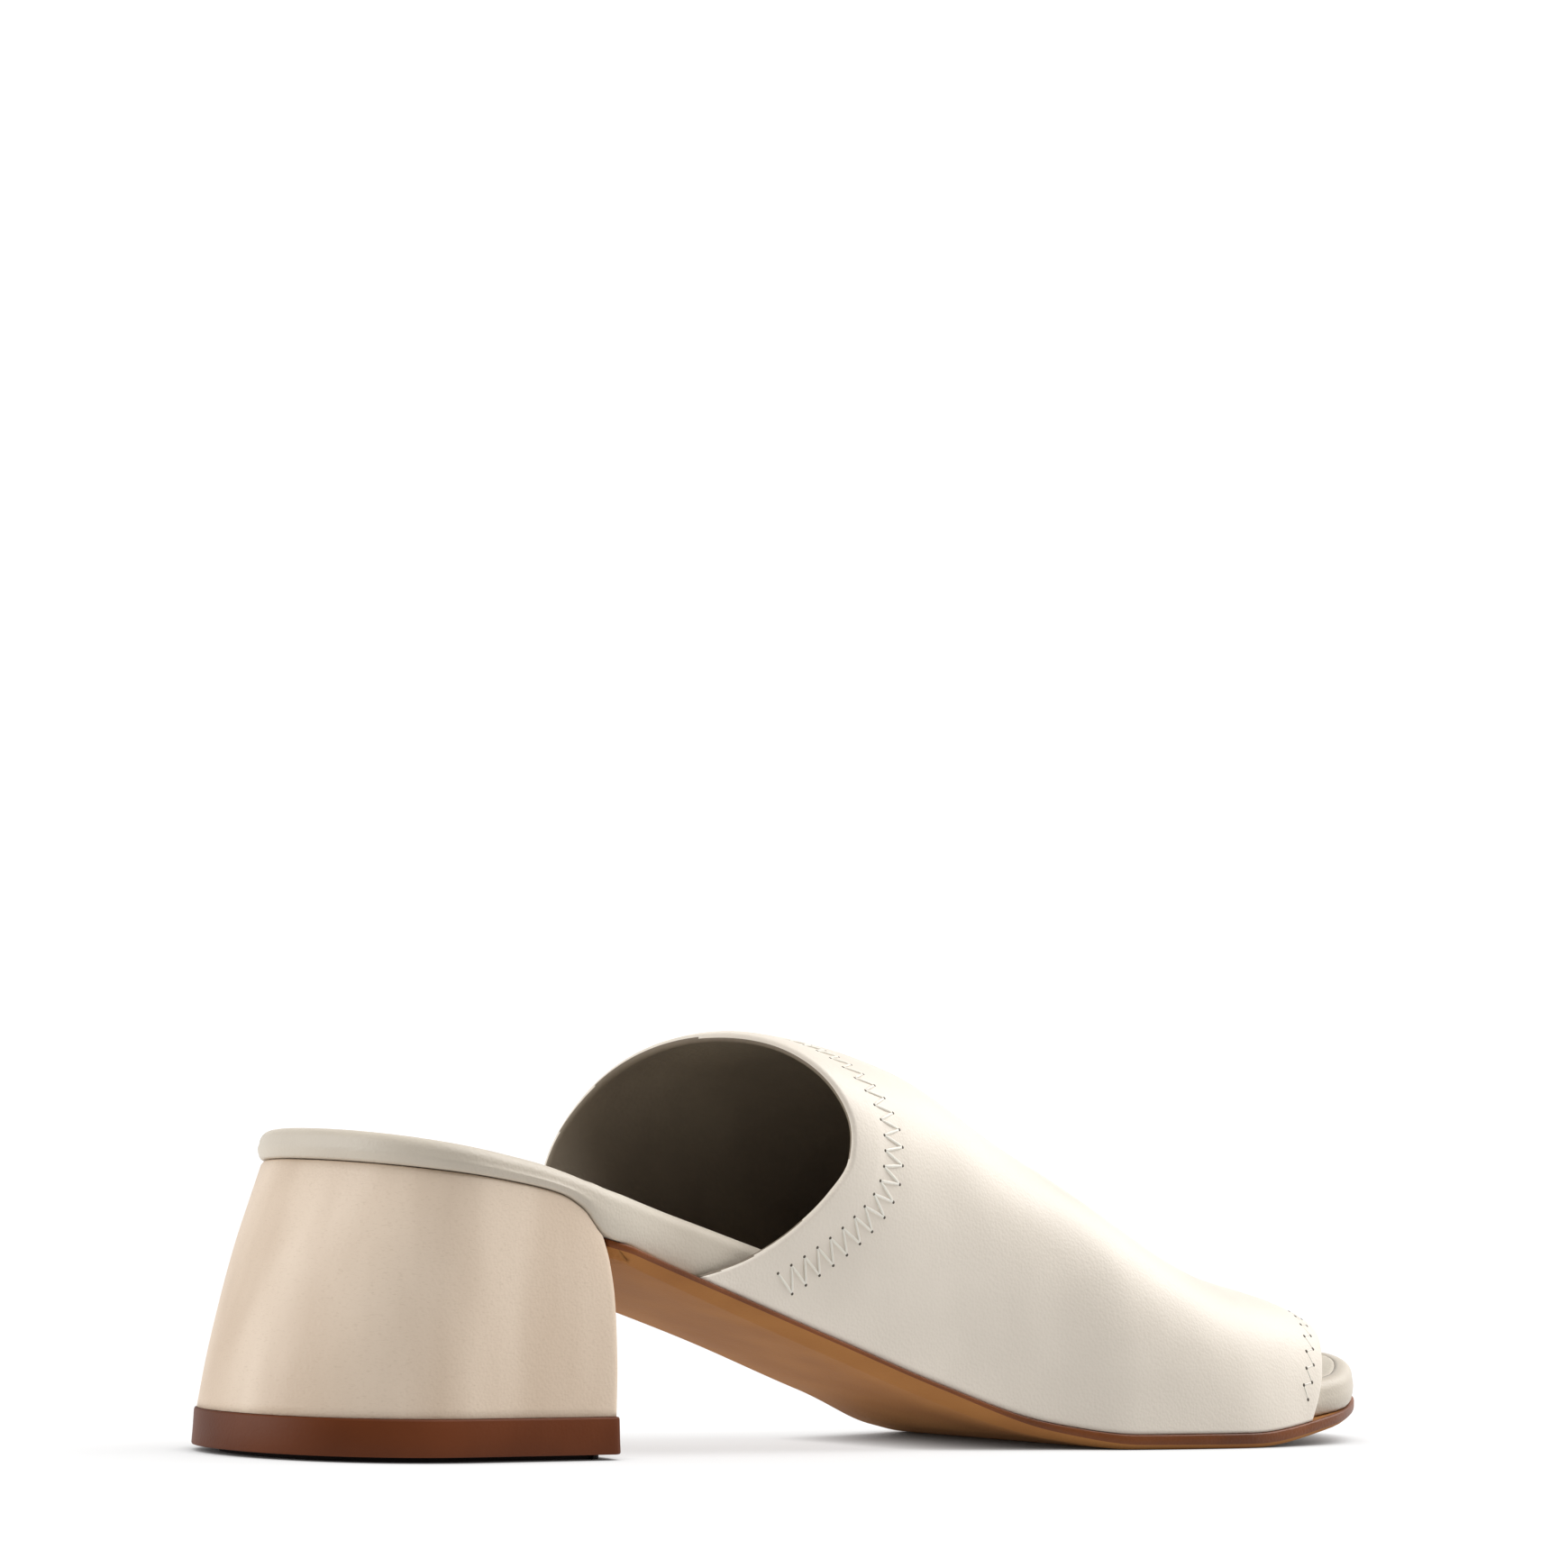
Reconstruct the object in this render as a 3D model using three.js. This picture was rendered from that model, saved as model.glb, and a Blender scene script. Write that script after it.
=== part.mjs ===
// Block heel sandal, right shoe: a slip-on with one hollow vamp, a small peep toe and an open back.
// Millimetres. +Y points to the toe, +X to the outer side of the foot, +Z up.
// The origin is the middle of the heel's tread, on the floor.
import * as THREE from "three";
import { mergeVertices } from "three/addons/utils/BufferGeometryUtils.js";

// Sole
const soleLength = 244; // from the back of the seat to the tip of the toe
const ballWidth = 75;
const heelRise = 48.4; // how much higher the seat lies than the tread
const toeSpring = 6.4;
const outsoleThickness = 2.8;
const platformThickness = 11.4; // the footbed at its thickest, in the waist
const skiveWidth = 4.5; // how far the outsole's underside is pared back in the waist
const outsoleEndRound = 2; // the corners of its end at the heel's breast
const footbedEdgeRound = 2.4;
const footbedFootRound = 0.8;
const coverLead = 7; // the footbed is fully set in this far before the upper covers it
const coverRamp = 10; // how gently it is set in
const insoleThickness = 1;
const insoleMargin = 0.6; // from the footbed's rounded edge to the insole's recess
const seatRound = 19;
const toeRound = 36;
const roundPower = 2.2; // 2 would make the seat's and the toe's rounds ellipses

// Heel
const heelLength = 63.2; // at its foot, without the top lift
const heelWidth = 62.8; // at its foot, without the top lift
const heelOverhang = 14.3; // how far the heel's foot reaches behind the seat
const heelTopLength = 46.2; // from the back of the seat to the breast, under the footbed
const heelInset = 0.5; // the heel's top edge inside the footbed's edge
const heelFootRound = 30;
const heelBreastRound = 5;
const topLiftThickness = 7.5;
const topLiftReveal = 0.4; // how far the top lift stands out past the heel
const topLiftFlare = 0.3;
const treadThickness = 1; // the top lift's lowest layer, which wears on the floor
const treadInset = 4; // how far that layer keeps inside the heel's foot

// Upper
const upperWall = 1.7;
const instepHeight = 58.5; // the vamp above the sole's edge at its highest section
const outsoleReveal = 0.5; // the outsole's edge past the upper
const flareOnset = 1.5; // above 1 the vamp's foot stays close to the footbed before it swells

// Clearances between pieces that touch
const contactGap = 0.3;
const lastingGap = 0.7; // between the upper's leaning wall and the footbed's upright edge

// Numbers of steps along the shapes
const endSteps = 7;
const soleSteps = 44;
const soleStepGrowth = 1.5; // above 1 the steps are finer near the heel, where the sole turns most
const heelSideSteps = 20;
const vampRoundSteps = 44;
const vampLengthSteps = 26;
const rimSteps = 4;
const heelSteps = 8;
const heelStepGrowth = 1.4; // above 1 the steps are finer near the top, where the flare turns most

// How far apart points are taken to find the vamp's slope: a share of the half turn, and a length.
const roundProbe = 0.002;
const lengthProbe = 0.5;
const weldDistance = 1e-4;

const { lerp, smoothstep } = THREE.MathUtils;

const seatBack = -heelLength / 2 + heelOverhang;

// The sole's sections. at: share of soleLength from the seat. centre, half: shares of ballWidth.
// rise: share of heelRise. spring: share of toeSpring. band: share of platformThickness.
// skive: share of skiveWidth.
const SOLE = [
  { at: 0.0, centre: -0.02, half: 0.4, rise: 1.0, spring: 0, band: 0.5, skive: 0.2 },
  { at: 0.1, centre: 0.0, half: 0.41, rise: 0.929, spring: 0, band: 0.385, skive: 0.4 },
  { at: 0.135, centre: 0.006, half: 0.402, rise: 0.893, spring: 0, band: 0.365, skive: 0.5 },
  { at: 0.155, centre: 0.009, half: 0.396, rise: 0.843, spring: 0, band: 0.45, skive: 0.55 },
  { at: 0.172, centre: 0.012, half: 0.39, rise: 0.757, spring: 0, band: 0.715, skive: 0.6 },
  { at: 0.2, centre: 0.016, half: 0.38, rise: 0.705, spring: 0, band: 0.775, skive: 0.7 },
  { at: 0.3, centre: 0.025, half: 0.336, rise: 0.537, spring: 0, band: 0.91, skive: 0.9 },
  { at: 0.4, centre: 0.033, half: 0.312, rise: 0.366, spring: 0, band: 1.0, skive: 1.0 },
  { at: 0.5, centre: 0.027, half: 0.32, rise: 0.192, spring: 0, band: 0.95, skive: 1.0 },
  { at: 0.6, centre: 0.004, half: 0.385, rise: 0.042, spring: 0, band: 0.86, skive: 0.6 },
  { at: 0.67, centre: -0.008, half: 0.46, rise: 0, spring: 0, band: 0.75, skive: 0.3 },
  { at: 0.78, centre: -0.03, half: 0.5, rise: 0, spring: 0, band: 0.62, skive: 0.2 },
  { at: 0.88, centre: -0.06, half: 0.467, rise: 0, spring: 0.44, band: 0.58, skive: 0.2 },
  { at: 0.96, centre: -0.092, half: 0.393, rise: 0, spring: 0.84, band: 0.62, skive: 0.2 },
  { at: 1.0, centre: -0.11, half: 0.335, rise: 0, spring: 1.0, band: 0.66, skive: 0.2 },
];

// The vamp's sections. at: share of soleLength. height: share of instepHeight.
// flare: how far the sides swell past the sole's edge, lean: the ridge's shift, shares of ballWidth.
// full: 0 is a half ellipse, more keeps the sides upright before they turn over.
const VAMP = [
  { at: 0.264, height: 0.61, flare: 0.415, lean: -0.03, full: 0 },
  { at: 0.387, height: 0.916, flare: 0.415, lean: -0.045, full: 0 },
  { at: 0.51, height: 1.0, flare: 0.33, lean: -0.085, full: 0 },
  { at: 0.633, height: 0.863, flare: 0.21, lean: -0.07, full: 0.08 },
  { at: 0.756, height: 0.573, flare: 0.125, lean: -0.045, full: 0.22 },
  { at: 0.879, height: 0.362, flare: 0.065, lean: -0.05, full: 0.5 },
  { at: 0.96, height: 0.17, flare: 0.03, lean: -0.055, full: 0.6 },
];

// The vamp's two rims. round: share of the half turn from the outer side over the ridge to the inner side.
// collar, toe: shares of soleLength where the rims lie.
const RIMS = [
  { round: 0.0, collar: 0.27, toe: 0.851 },
  { round: 0.05, collar: 0.316, toe: 0.861 },
  { round: 0.1, collar: 0.354, toe: 0.869 },
  { round: 0.15, collar: 0.382, toe: 0.875 },
  { round: 0.2, collar: 0.4, toe: 0.881 },
  { round: 0.25, collar: 0.404, toe: 0.888 },
  { round: 0.3, collar: 0.4, toe: 0.895 },
  { round: 0.4, collar: 0.385, toe: 0.912 },
  { round: 0.5, collar: 0.363, toe: 0.919 },
  { round: 0.6, collar: 0.347, toe: 0.922 },
  { round: 0.7, collar: 0.329, toe: 0.92 },
  { round: 0.8, collar: 0.306, toe: 0.916 },
  { round: 0.9, collar: 0.284, toe: 0.91 },
  { round: 1.0, collar: 0.262, toe: 0.902 },
];

// The heel's flare. height: share from its top to its foot.
// spread: how much of the foot's extra width is reached.
// reach, breast: how much of the way its back and its breast have gone to the foot's.
const HEEL = [
  { height: 0.0, spread: 0.0, reach: 0.0, breast: 0.0 },
  { height: 0.15, spread: 0.38, reach: 0.2, breast: 0.46 },
  { height: 0.35, spread: 0.72, reach: 0.45, breast: 0.78 },
  { height: 0.6, spread: 0.93, reach: 0.7, breast: 0.94 },
  { height: 0.8, spread: 1.0, reach: 0.87, breast: 1.0 },
  { height: 1.0, spread: 1.0, reach: 1.0, breast: 1.0 },
];

// A smooth curve through one column of a table, without overshoot between its rows.
function column(table, key, name) {
  const x = table.map((row) => row[key]);
  const y = table.map((row) => row[name]);
  const slope = x.slice(1).map((value, i) => (y[i + 1] - y[i]) / (value - x[i]));
  const tangent = y.map((_, i) => {
    const before = slope[Math.max(i - 1, 0)];
    const after = slope[Math.min(i, slope.length - 1)];
    return before * after > 0 ? (2 * before * after) / (before + after) : 0;
  });
  return (value) => {
    const clamped = Math.min(Math.max(value, x[0]), x[x.length - 1]);
    const i = Math.max(0, Math.min(x.findIndex((step) => step >= clamped) - 1, slope.length - 1));
    const width = x[i + 1] - x[i];
    const s = (clamped - x[i]) / width;
    const from = (1 + 2 * s) * (1 - s) ** 2 * y[i] + s * (1 - s) ** 2 * width * tangent[i];
    const to = s * s * (3 - 2 * s) * y[i + 1] + s * s * (s - 1) * width * tangent[i + 1];
    return from + to;
  };
}

const soleCentre = column(SOLE, "at", "centre");
const soleHalf = column(SOLE, "at", "half");
const soleRise = column(SOLE, "at", "rise");
const soleSpring = column(SOLE, "at", "spring");
const soleBand = column(SOLE, "at", "band");
const soleSkive = column(SOLE, "at", "skive");
const vampHeight = column(VAMP, "at", "height");
const vampFlare = column(VAMP, "at", "flare");
const vampLean = column(VAMP, "at", "lean");
const vampFull = column(VAMP, "at", "full");
const collarAt = column(RIMS, "round", "collar");
const toeAt = column(RIMS, "round", "toe");
const heelSpread = column(HEEL, "height", "spread");
const heelReach = column(HEEL, "height", "reach");
const heelBreast = column(HEEL, "height", "breast");

const shareAt = (y) => (y - seatBack) / soleLength;
const centreAt = (y) => soleCentre(shareAt(y)) * ballWidth;
const halfAt = (y) => soleHalf(shareAt(y)) * ballWidth;

// The line where the footbed meets the outsole and the heel: the shoe's feather line.
function featherAt(y) {
  const t = shareAt(y);
  return outsoleThickness + heelRise * soleRise(t) + toeSpring * soleSpring(t);
}

const footbedTopAt = (y) => featherAt(y) + platformThickness * soleBand(shareAt(y));

// Stations along a plan outline: the distance from its start, and the share of the full half width there.
// Each end is a superellipse as long as its own round. A growth above 1 makes the first steps finer.
function stations(length, startRound, endRound, steps, growth) {
  const power = 2 / roundPower;
  const list = [];
  for (let i = 0; i <= endSteps; i += 1) {
    const angle = (i / endSteps) * (Math.PI / 2);
    list.push({ along: startRound * (1 - Math.cos(angle) ** power), wide: Math.sin(angle) ** power });
  }
  const straight = length - startRound - endRound;
  for (let i = 1; i < steps; i += 1) {
    list.push({ along: startRound + straight * (i / steps) ** growth, wide: 1 });
  }
  for (let i = endSteps; i >= 0; i -= 1) {
    const angle = (i / endSteps) * (Math.PI / 2);
    list.push({ along: length - endRound * (1 - Math.cos(angle) ** power), wide: Math.sin(angle) ** power });
  }
  list[0].wide = 0;
  list[list.length - 1].wide = 0;
  return list;
}

// A closed plan outline from stations: out along the outer side, back along the inner side.
function planOutline(list, start, centre, half) {
  const outer = list.map(({ along, wide }) => {
    const y = start + along;
    return new THREE.Vector2(centre(y) + half(y) * wide, y);
  });
  const inner = list.slice(1, -1).map(({ along, wide }) => {
    const y = start + along;
    return new THREE.Vector2(centre(y) - half(y) * wide, y);
  });
  return [...outer, ...inner.reverse()];
}

// The outline moved inwards by a distance, or by a function of the point.
function inset(outline, distance) {
  const count = outline.length;
  return outline.map((point, i) => {
    const along = outline[(i + 1) % count].clone().sub(outline[(i - 1 + count) % count]).normalize();
    const amount = typeof distance === "function" ? distance(point) : distance;
    return new THREE.Vector2(point.x - along.y * amount, point.y + along.x * amount);
  });
}

// A ring of points in space over a plan outline.
const lift = (outline, height) => outline.map(({ x, y }) => new THREE.Vector3(x, y, height(y)));

// One closed body through a row of rings. The first and last rings are closed by strips across,
// starting at the ring's point number pole.
function loft(rings, pole = 0) {
  const count = rings[0].length;
  const position = rings.flat().flatMap(({ x, y, z }) => [x, y, z]);
  const index = [];
  const last = (rings.length - 1) * count;
  for (let r = 0; r < rings.length - 1; r += 1) {
    for (let i = 0; i < count; i += 1) {
      const a = r * count + i;
      const b = r * count + ((i + 1) % count);
      index.push(a, b, b + count, a, b + count, a + count);
    }
  }
  for (let step = 0; step < count / 2; step += 1) {
    const a = (pole + step) % count;
    const b = (pole + step + 1) % count;
    const c = (pole - step - 1 + 2 * count) % count;
    const d = (pole - step + 2 * count) % count;
    if (a !== d) index.push(a, d, b, last + a, last + b, last + d);
    if (b !== c) index.push(b, d, c, last + b, last + c, last + d);
  }
  const geometry = new THREE.BufferGeometry();
  geometry.setAttribute("position", new THREE.Float32BufferAttribute(position, 3));
  geometry.setIndex(index);
  const merged = mergeVertices(geometry, weldDistance);
  if (enclosedVolume(merged) < 0) merged.index.array.reverse();
  merged.computeVertexNormals();
  return merged;
}

// Positive when the faces point out.
function enclosedVolume(geometry) {
  const position = geometry.attributes.position;
  const index = geometry.index.array;
  const corner = [new THREE.Vector3(), new THREE.Vector3(), new THREE.Vector3()];
  let sum = 0;
  for (let i = 0; i < index.length; i += 3) {
    corner.forEach((point, k) => point.fromBufferAttribute(position, index[i + k]));
    sum += corner[0].dot(corner[1].clone().cross(corner[2]));
  }
  return sum / 6;
}

// Footbed: the wrapped platform, set in where the upper is lasted round it, with a recess for the insole.
// How much the upper covers a point of the footbed's edge: 1 between its rims, 0 a little way beyond them.
function coverAt({ x, y }) {
  const round = x > centreAt(y) ? 0 : 1;
  const from = seatBack + soleLength * collarAt(round) - coverLead;
  const to = seatBack + soleLength * toeAt(round) + coverLead;
  return smoothstep(y, from - coverRamp, from) * (1 - smoothstep(y, to, to + coverRamp));
}

const toeSetback = outsoleReveal + contactGap; // the footbed's toe inside the outsole's

function footbedOutline() {
  const list = stations(soleLength - toeSetback, seatRound, toeRound, soleSteps, soleStepGrowth);
  const outline = planOutline(list, seatBack, centreAt, halfAt);
  const lasting = outsoleReveal + upperWall + lastingGap;
  return inset(outline, (point) => lasting * coverAt(point));
}

function makeFootbed() {
  const outline = footbedOutline();
  const under = (y) => featherAt(y) + contactGap;
  const rings = [
    lift(inset(outline, footbedFootRound), under),
    lift(outline, (y) => under(y) + footbedFootRound),
    lift(outline, (y) => footbedTopAt(y) - footbedEdgeRound),
  ];
  for (const angle of [Math.PI / 6, Math.PI / 3, Math.PI / 2]) {
    const inwards = footbedEdgeRound * (1 - Math.cos(angle));
    const down = footbedEdgeRound * (1 - Math.sin(angle));
    rings.push(lift(inset(outline, inwards), (y) => footbedTopAt(y) - down));
  }
  const recess = inset(outline, footbedEdgeRound + insoleMargin);
  const floor = (y) => footbedTopAt(y) - insoleThickness - contactGap;
  rings.push(lift(recess, footbedTopAt), lift(recess, floor));
  return loft(rings);
}

// Insole: a thin sock in the footbed's recess, flush with its edge.
function makeInsole() {
  const outline = inset(footbedOutline(), footbedEdgeRound + insoleMargin + contactGap);
  return loft([lift(outline, (y) => footbedTopAt(y) - insoleThickness), lift(outline, footbedTopAt)]);
}

// Where the heel's back and its breast lie, at a share of the way down from its top.
const heelTopBack = seatBack + heelInset;
const heelTopBreast = seatBack + heelTopLength;
const heelBackAt = (down) => lerp(heelTopBack, -heelLength / 2, heelReach(down));
const heelBreastAt = (down) => lerp(heelTopBreast, heelLength / 2, heelBreast(down));

// The heel's plan outline at a share of the way down: the seat's own outline at the top,
// spreading to the wider and longer D of its foot.
function heelOutline(down, grow) {
  const spread = heelSpread(down);
  const back = heelBackAt(down) - grow;
  const breast = heelBreastAt(down) + grow;
  const round = lerp(seatRound, heelFootRound, heelReach(down));
  const list = stations(breast - back, round, heelBreastRound, heelSideSteps, 1);
  const toTop = (y) => THREE.MathUtils.mapLinear(y, back, breast, heelTopBack, heelTopBreast);
  const centre = (y) => centreAt(toTop(y)) * (1 - spread);
  const half = (y) => lerp(halfAt(toTop(y)) - heelInset, heelWidth / 2, spread) + grow;
  return planOutline(list, back, centre, half);
}

// Heel: a block with a D-shaped plan whose top follows the footbed's slope.
function makeHeel() {
  const foot = topLiftThickness + contactGap;
  const top = lift(heelOutline(0, 0), featherAt);
  const rings = [];
  for (let step = 0; step <= heelSteps; step += 1) {
    const down = (step / heelSteps) ** heelStepGrowth;
    const outline = heelOutline(down, 0);
    rings.push(outline.map(({ x, y }, i) => new THREE.Vector3(x, y, lerp(top[i].z, foot, down))));
  }
  return loft(rings);
}

// Top lift: a plate a little wider than the heel's foot, flaring downwards, on a smaller tread.
function makeTopLift() {
  const tread = heelOutline(1, -treadInset);
  return loft([
    lift(heelOutline(1, topLiftReveal), () => topLiftThickness),
    lift(heelOutline(1, topLiftReveal + topLiftFlare), () => treadThickness),
    lift(tread, () => treadThickness),
    lift(tread, () => 0),
  ]);
}

// Outsole: a thin sheet from the heel's breast to the toe, its underside pared back in the waist.
function makeOutsole() {
  const start = outsoleStart();
  const length = seatBack + soleLength - start;
  const list = stations(length, outsoleEndRound, toeRound, soleSteps, soleStepGrowth);
  const outline = planOutline(list, start, centreAt, halfAt);
  const under = (y) => featherAt(y) - outsoleThickness;
  const pared = inset(outline, ({ y }) => skiveWidth * soleSkive(shareAt(y)));
  return loft([
    lift(outline, featherAt),
    lift(outline, (y) => under(y) + outsoleThickness / 2),
    lift(pared, under),
  ]);
}

// The breast leans forward towards the floor, so the outsole starts clear of it at its lower face.
function outsoleStart() {
  const down = (outsoleThickness + contactGap) / (featherAt(heelTopBreast) - topLiftThickness);
  return heelBreastAt(down) + contactGap;
}

// The sole's edge narrows to the rounded toe: the share of its half width that is left there.
function toeNarrowing(y) {
  const past = Math.max(0, 1 - (seatBack + soleLength - y) / toeRound);
  return (1 - past ** roundPower) ** (1 / roundPower);
}

// A point on the vamp's outer face. round runs from the outer side's edge over the ridge to the inner side's.
function vampPoint(y, round) {
  const t = shareAt(y);
  const angle = Math.PI * round;
  const high = Math.sin(angle);
  const half = halfAt(y) * toeNarrowing(y) - outsoleReveal + vampFlare(t) * ballWidth * high ** flareOnset;
  const side = Math.sign(Math.cos(angle)) * Math.abs(Math.cos(angle)) ** (1 - vampFull(t));
  const x = centreAt(y) + vampLean(t) * ballWidth * high + half * side;
  return new THREE.Vector3(x, y, featherAt(y) + contactGap + vampHeight(t) * instepHeight * high);
}

// The vamp's outward normal, and the direction along it towards the toe.
function vampFrame(y, round) {
  const low = Math.max(round - roundProbe, 0);
  const high = Math.min(round + roundProbe, 1);
  const across = vampPoint(y, high).sub(vampPoint(y, low)).normalize();
  const along = vampPoint(y + lengthProbe, round).sub(vampPoint(y - lengthProbe, round)).normalize();
  return { normal: along.clone().cross(across).normalize(), along };
}

// Upper: one hollow wall, open at the collar, at the peep toe and underneath, with rounded rims.
function makeUpper() {
  const rings = [];
  for (let i = 0; i <= vampRoundSteps; i += 1) {
    rings.push(vampRing(i / vampRoundSteps));
  }
  return loft(rings, rings[0].length - rimSteps / 2);
}

// One ring of the upper: along its outer face, round the toe's rim, back along its inner face
// and round the collar's rim.
function vampRing(round) {
  const from = seatBack + soleLength * collarAt(round);
  const to = seatBack + soleLength * toeAt(round);
  const outer = [];
  const inner = [];
  for (let j = 0; j <= vampLengthSteps; j += 1) {
    const y = lerp(from, to, j / vampLengthSteps);
    const { normal } = vampFrame(y, round);
    const point = vampPoint(y, round);
    outer.push(point);
    inner.unshift(wallPoint(point, normal, upperWall, round));
  }
  return [...outer, ...rim(to, round, 1), ...inner, ...rim(from, round, -1)];
}

// A point on the way through the wall. At the two lower edges it stays level, so that the edge is flat.
function wallPoint(point, normal, depth, round) {
  const through = point.clone().addScaledVector(normal, -depth);
  if (round === 0 || round === 1) through.z = point.z;
  return through;
}

// The half round of a rim, from one face to the other: out of the outer face at the toe, and
// out of the inner face at the collar.
function rim(y, round, side) {
  const { normal, along } = vampFrame(y, round);
  const point = vampPoint(y, round);
  const list = [];
  for (let k = 1; k < rimSteps; k += 1) {
    const angle = (Math.PI * k) / rimSteps;
    const depth = (upperWall / 2) * (1 - side * Math.cos(angle));
    const bulge = wallPoint(point, normal, depth, round);
    bulge.addScaledVector(along, side * (upperWall / 2) * Math.sin(angle));
    if (round === 0 || round === 1) bulge.z = Math.max(bulge.z, featherAt(bulge.y) + contactGap);
    list.push(bulge);
  }
  return list;
}

const leather = new THREE.MeshStandardMaterial({ color: 0xd6cdc2, roughness: 0.5, metalness: 0 });
const wrap = new THREE.MeshStandardMaterial({ color: 0xd9c8b8, roughness: 0.55, metalness: 0 });
const sock = new THREE.MeshStandardMaterial({ color: 0xd8d0c6, roughness: 0.6, metalness: 0 });
const tan = new THREE.MeshStandardMaterial({ color: 0xc1936a, roughness: 0.5, metalness: 0 });
const brown = new THREE.MeshStandardMaterial({ color: 0x7a4128, roughness: 0.45, metalness: 0 });

function piece(name, geometry, material) {
  const mesh = new THREE.Mesh(geometry, material);
  mesh.name = name;
  return mesh;
}

const sandal = new THREE.Group();
sandal.add(piece("top_lift", makeTopLift(), brown));
sandal.add(piece("heel", makeHeel(), wrap));
sandal.add(piece("outsole", makeOutsole(), tan));
sandal.add(piece("footbed", makeFootbed(), leather.clone()));
sandal.add(piece("insole", makeInsole(), sock));
sandal.add(piece("upper", makeUpper(), leather));

export default sandal;
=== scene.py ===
"""Block heel sandal, right shoe: every surface of the slip-on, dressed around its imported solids.

The shapes repeat the solids' own sections, in millimetres, and are turned to metres when a mesh is made.
+Y points to the toe, +X to the outer side of the foot, and the origin is the middle of the heel's tread.
"""

import logging
import math
from bisect import bisect_left
from dataclasses import dataclass, field
from enum import Enum
from typing import Callable, Sequence

import bmesh
import bpy
from mathutils import Matrix, Vector


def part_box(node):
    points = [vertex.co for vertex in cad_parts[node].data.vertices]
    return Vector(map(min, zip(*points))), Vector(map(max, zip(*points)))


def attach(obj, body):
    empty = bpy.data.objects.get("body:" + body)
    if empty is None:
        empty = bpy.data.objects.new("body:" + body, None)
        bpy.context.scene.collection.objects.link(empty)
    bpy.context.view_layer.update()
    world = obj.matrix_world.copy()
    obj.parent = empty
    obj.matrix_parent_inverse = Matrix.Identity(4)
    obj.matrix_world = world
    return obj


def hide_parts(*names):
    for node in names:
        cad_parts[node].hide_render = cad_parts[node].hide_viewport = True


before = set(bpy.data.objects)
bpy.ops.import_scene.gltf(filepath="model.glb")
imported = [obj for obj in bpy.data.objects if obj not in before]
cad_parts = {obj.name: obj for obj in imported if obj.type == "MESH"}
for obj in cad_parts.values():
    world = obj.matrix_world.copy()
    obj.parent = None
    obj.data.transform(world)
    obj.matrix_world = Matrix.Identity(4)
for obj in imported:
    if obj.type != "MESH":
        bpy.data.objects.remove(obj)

LOG = logging.getLogger("sandal")
MM = 0.001
WELD = 1e-6
Place = Callable[[int, int], Vector]
Height = Callable[[float], float]
Inset = Callable[["EdgePoint"], float]
Span = tuple[float, float]
Tree = bpy.types.NodeTree
Socket = bpy.types.NodeSocket


class Slot(Enum):
    """The record's material slots, one listed for each piece."""

    UPPER = "upper_leather"
    FOOTBED = "footbed_wrap"
    INSOLE = "insole_lining"
    OUTSOLE = "outsole_tan"
    HEEL = "heel_wrap"
    TOP_LIFT = "top_lift_rubber"


@dataclass(frozen=True)
class SoleRow:
    """One section of the sole, in shares of its named sizes."""

    at: float
    centre: float
    half: float
    rise: float
    spring: float
    band: float
    skive: float


@dataclass(frozen=True)
class VampRow:
    """One section of the vamp, in shares of its named sizes."""

    at: float
    height: float
    flare: float
    lean: float
    full: float


@dataclass(frozen=True)
class RimRow:
    """Where the collar and the peep toe lie, at a share of the half turn over the foot."""

    round: float
    collar: float
    toe: float


@dataclass(frozen=True)
class HeelRow:
    """How much of the way to its foot's width, back and breast the heel has gone, on the way down."""

    down: float
    spread: float
    reach: float
    breast: float


@dataclass(frozen=True)
class Seam:
    """A zigzag seam along one of the vamp's rims. Lengths in millimetres.

    near and far are its two rows of holes from the rim, draw is how far it pulls the leather in,
    hem is how far the leather between it and the rim stands up, and closing is the share of its
    distance from the rim that it loses at both ends, between the two turns of end_turns. margin is how
    far past the holes the leather is drawn in, hem_run is how far the hem takes to swell on the seam's
    side and rim_run where it does so at the rim, still_past is how far behind the seam the leather lies
    still, and fade is the turn over which the seam starts and stops.
    """

    name: str
    near: float
    far: float
    pitch: float
    first_turn: float
    last_turn: float
    at_toe: bool
    thread: float
    hole: float
    draw: float
    hem: float
    closing: float
    end_turns: Span = (0.05, 0.22)
    margin: float = 0.8
    hem_run: float = 2.2
    rim_run: Span = (0.3, 2.0)
    still_past: float = 4.0
    fade: float = 0.03

    def middle(self, turn: float) -> float:
        """Gives the distance of the seam's middle line from the rim at a share of the half turn."""
        near_end = 1 - smoothstep(min(turn, 1 - turn), *self.end_turns)
        return (self.near + self.far) / 2 * (1 - self.closing * near_end)


SEAMS = (
    Seam(
        "collar_seam", near=7.4, far=12.5, pitch=3.2, first_turn=0.068, last_turn=0.932, at_toe=False,
        thread=0.55, hole=0.3, draw=0.2, hem=0.12, closing=0.28,
    ),
    Seam(
        "toe_seam", near=2.7, far=4.9, pitch=3.8, first_turn=0.03, last_turn=0.97, at_toe=True,
        thread=0.26, hole=0.36, draw=0.05, hem=0.08, closing=0.0,
    ),
)

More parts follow.
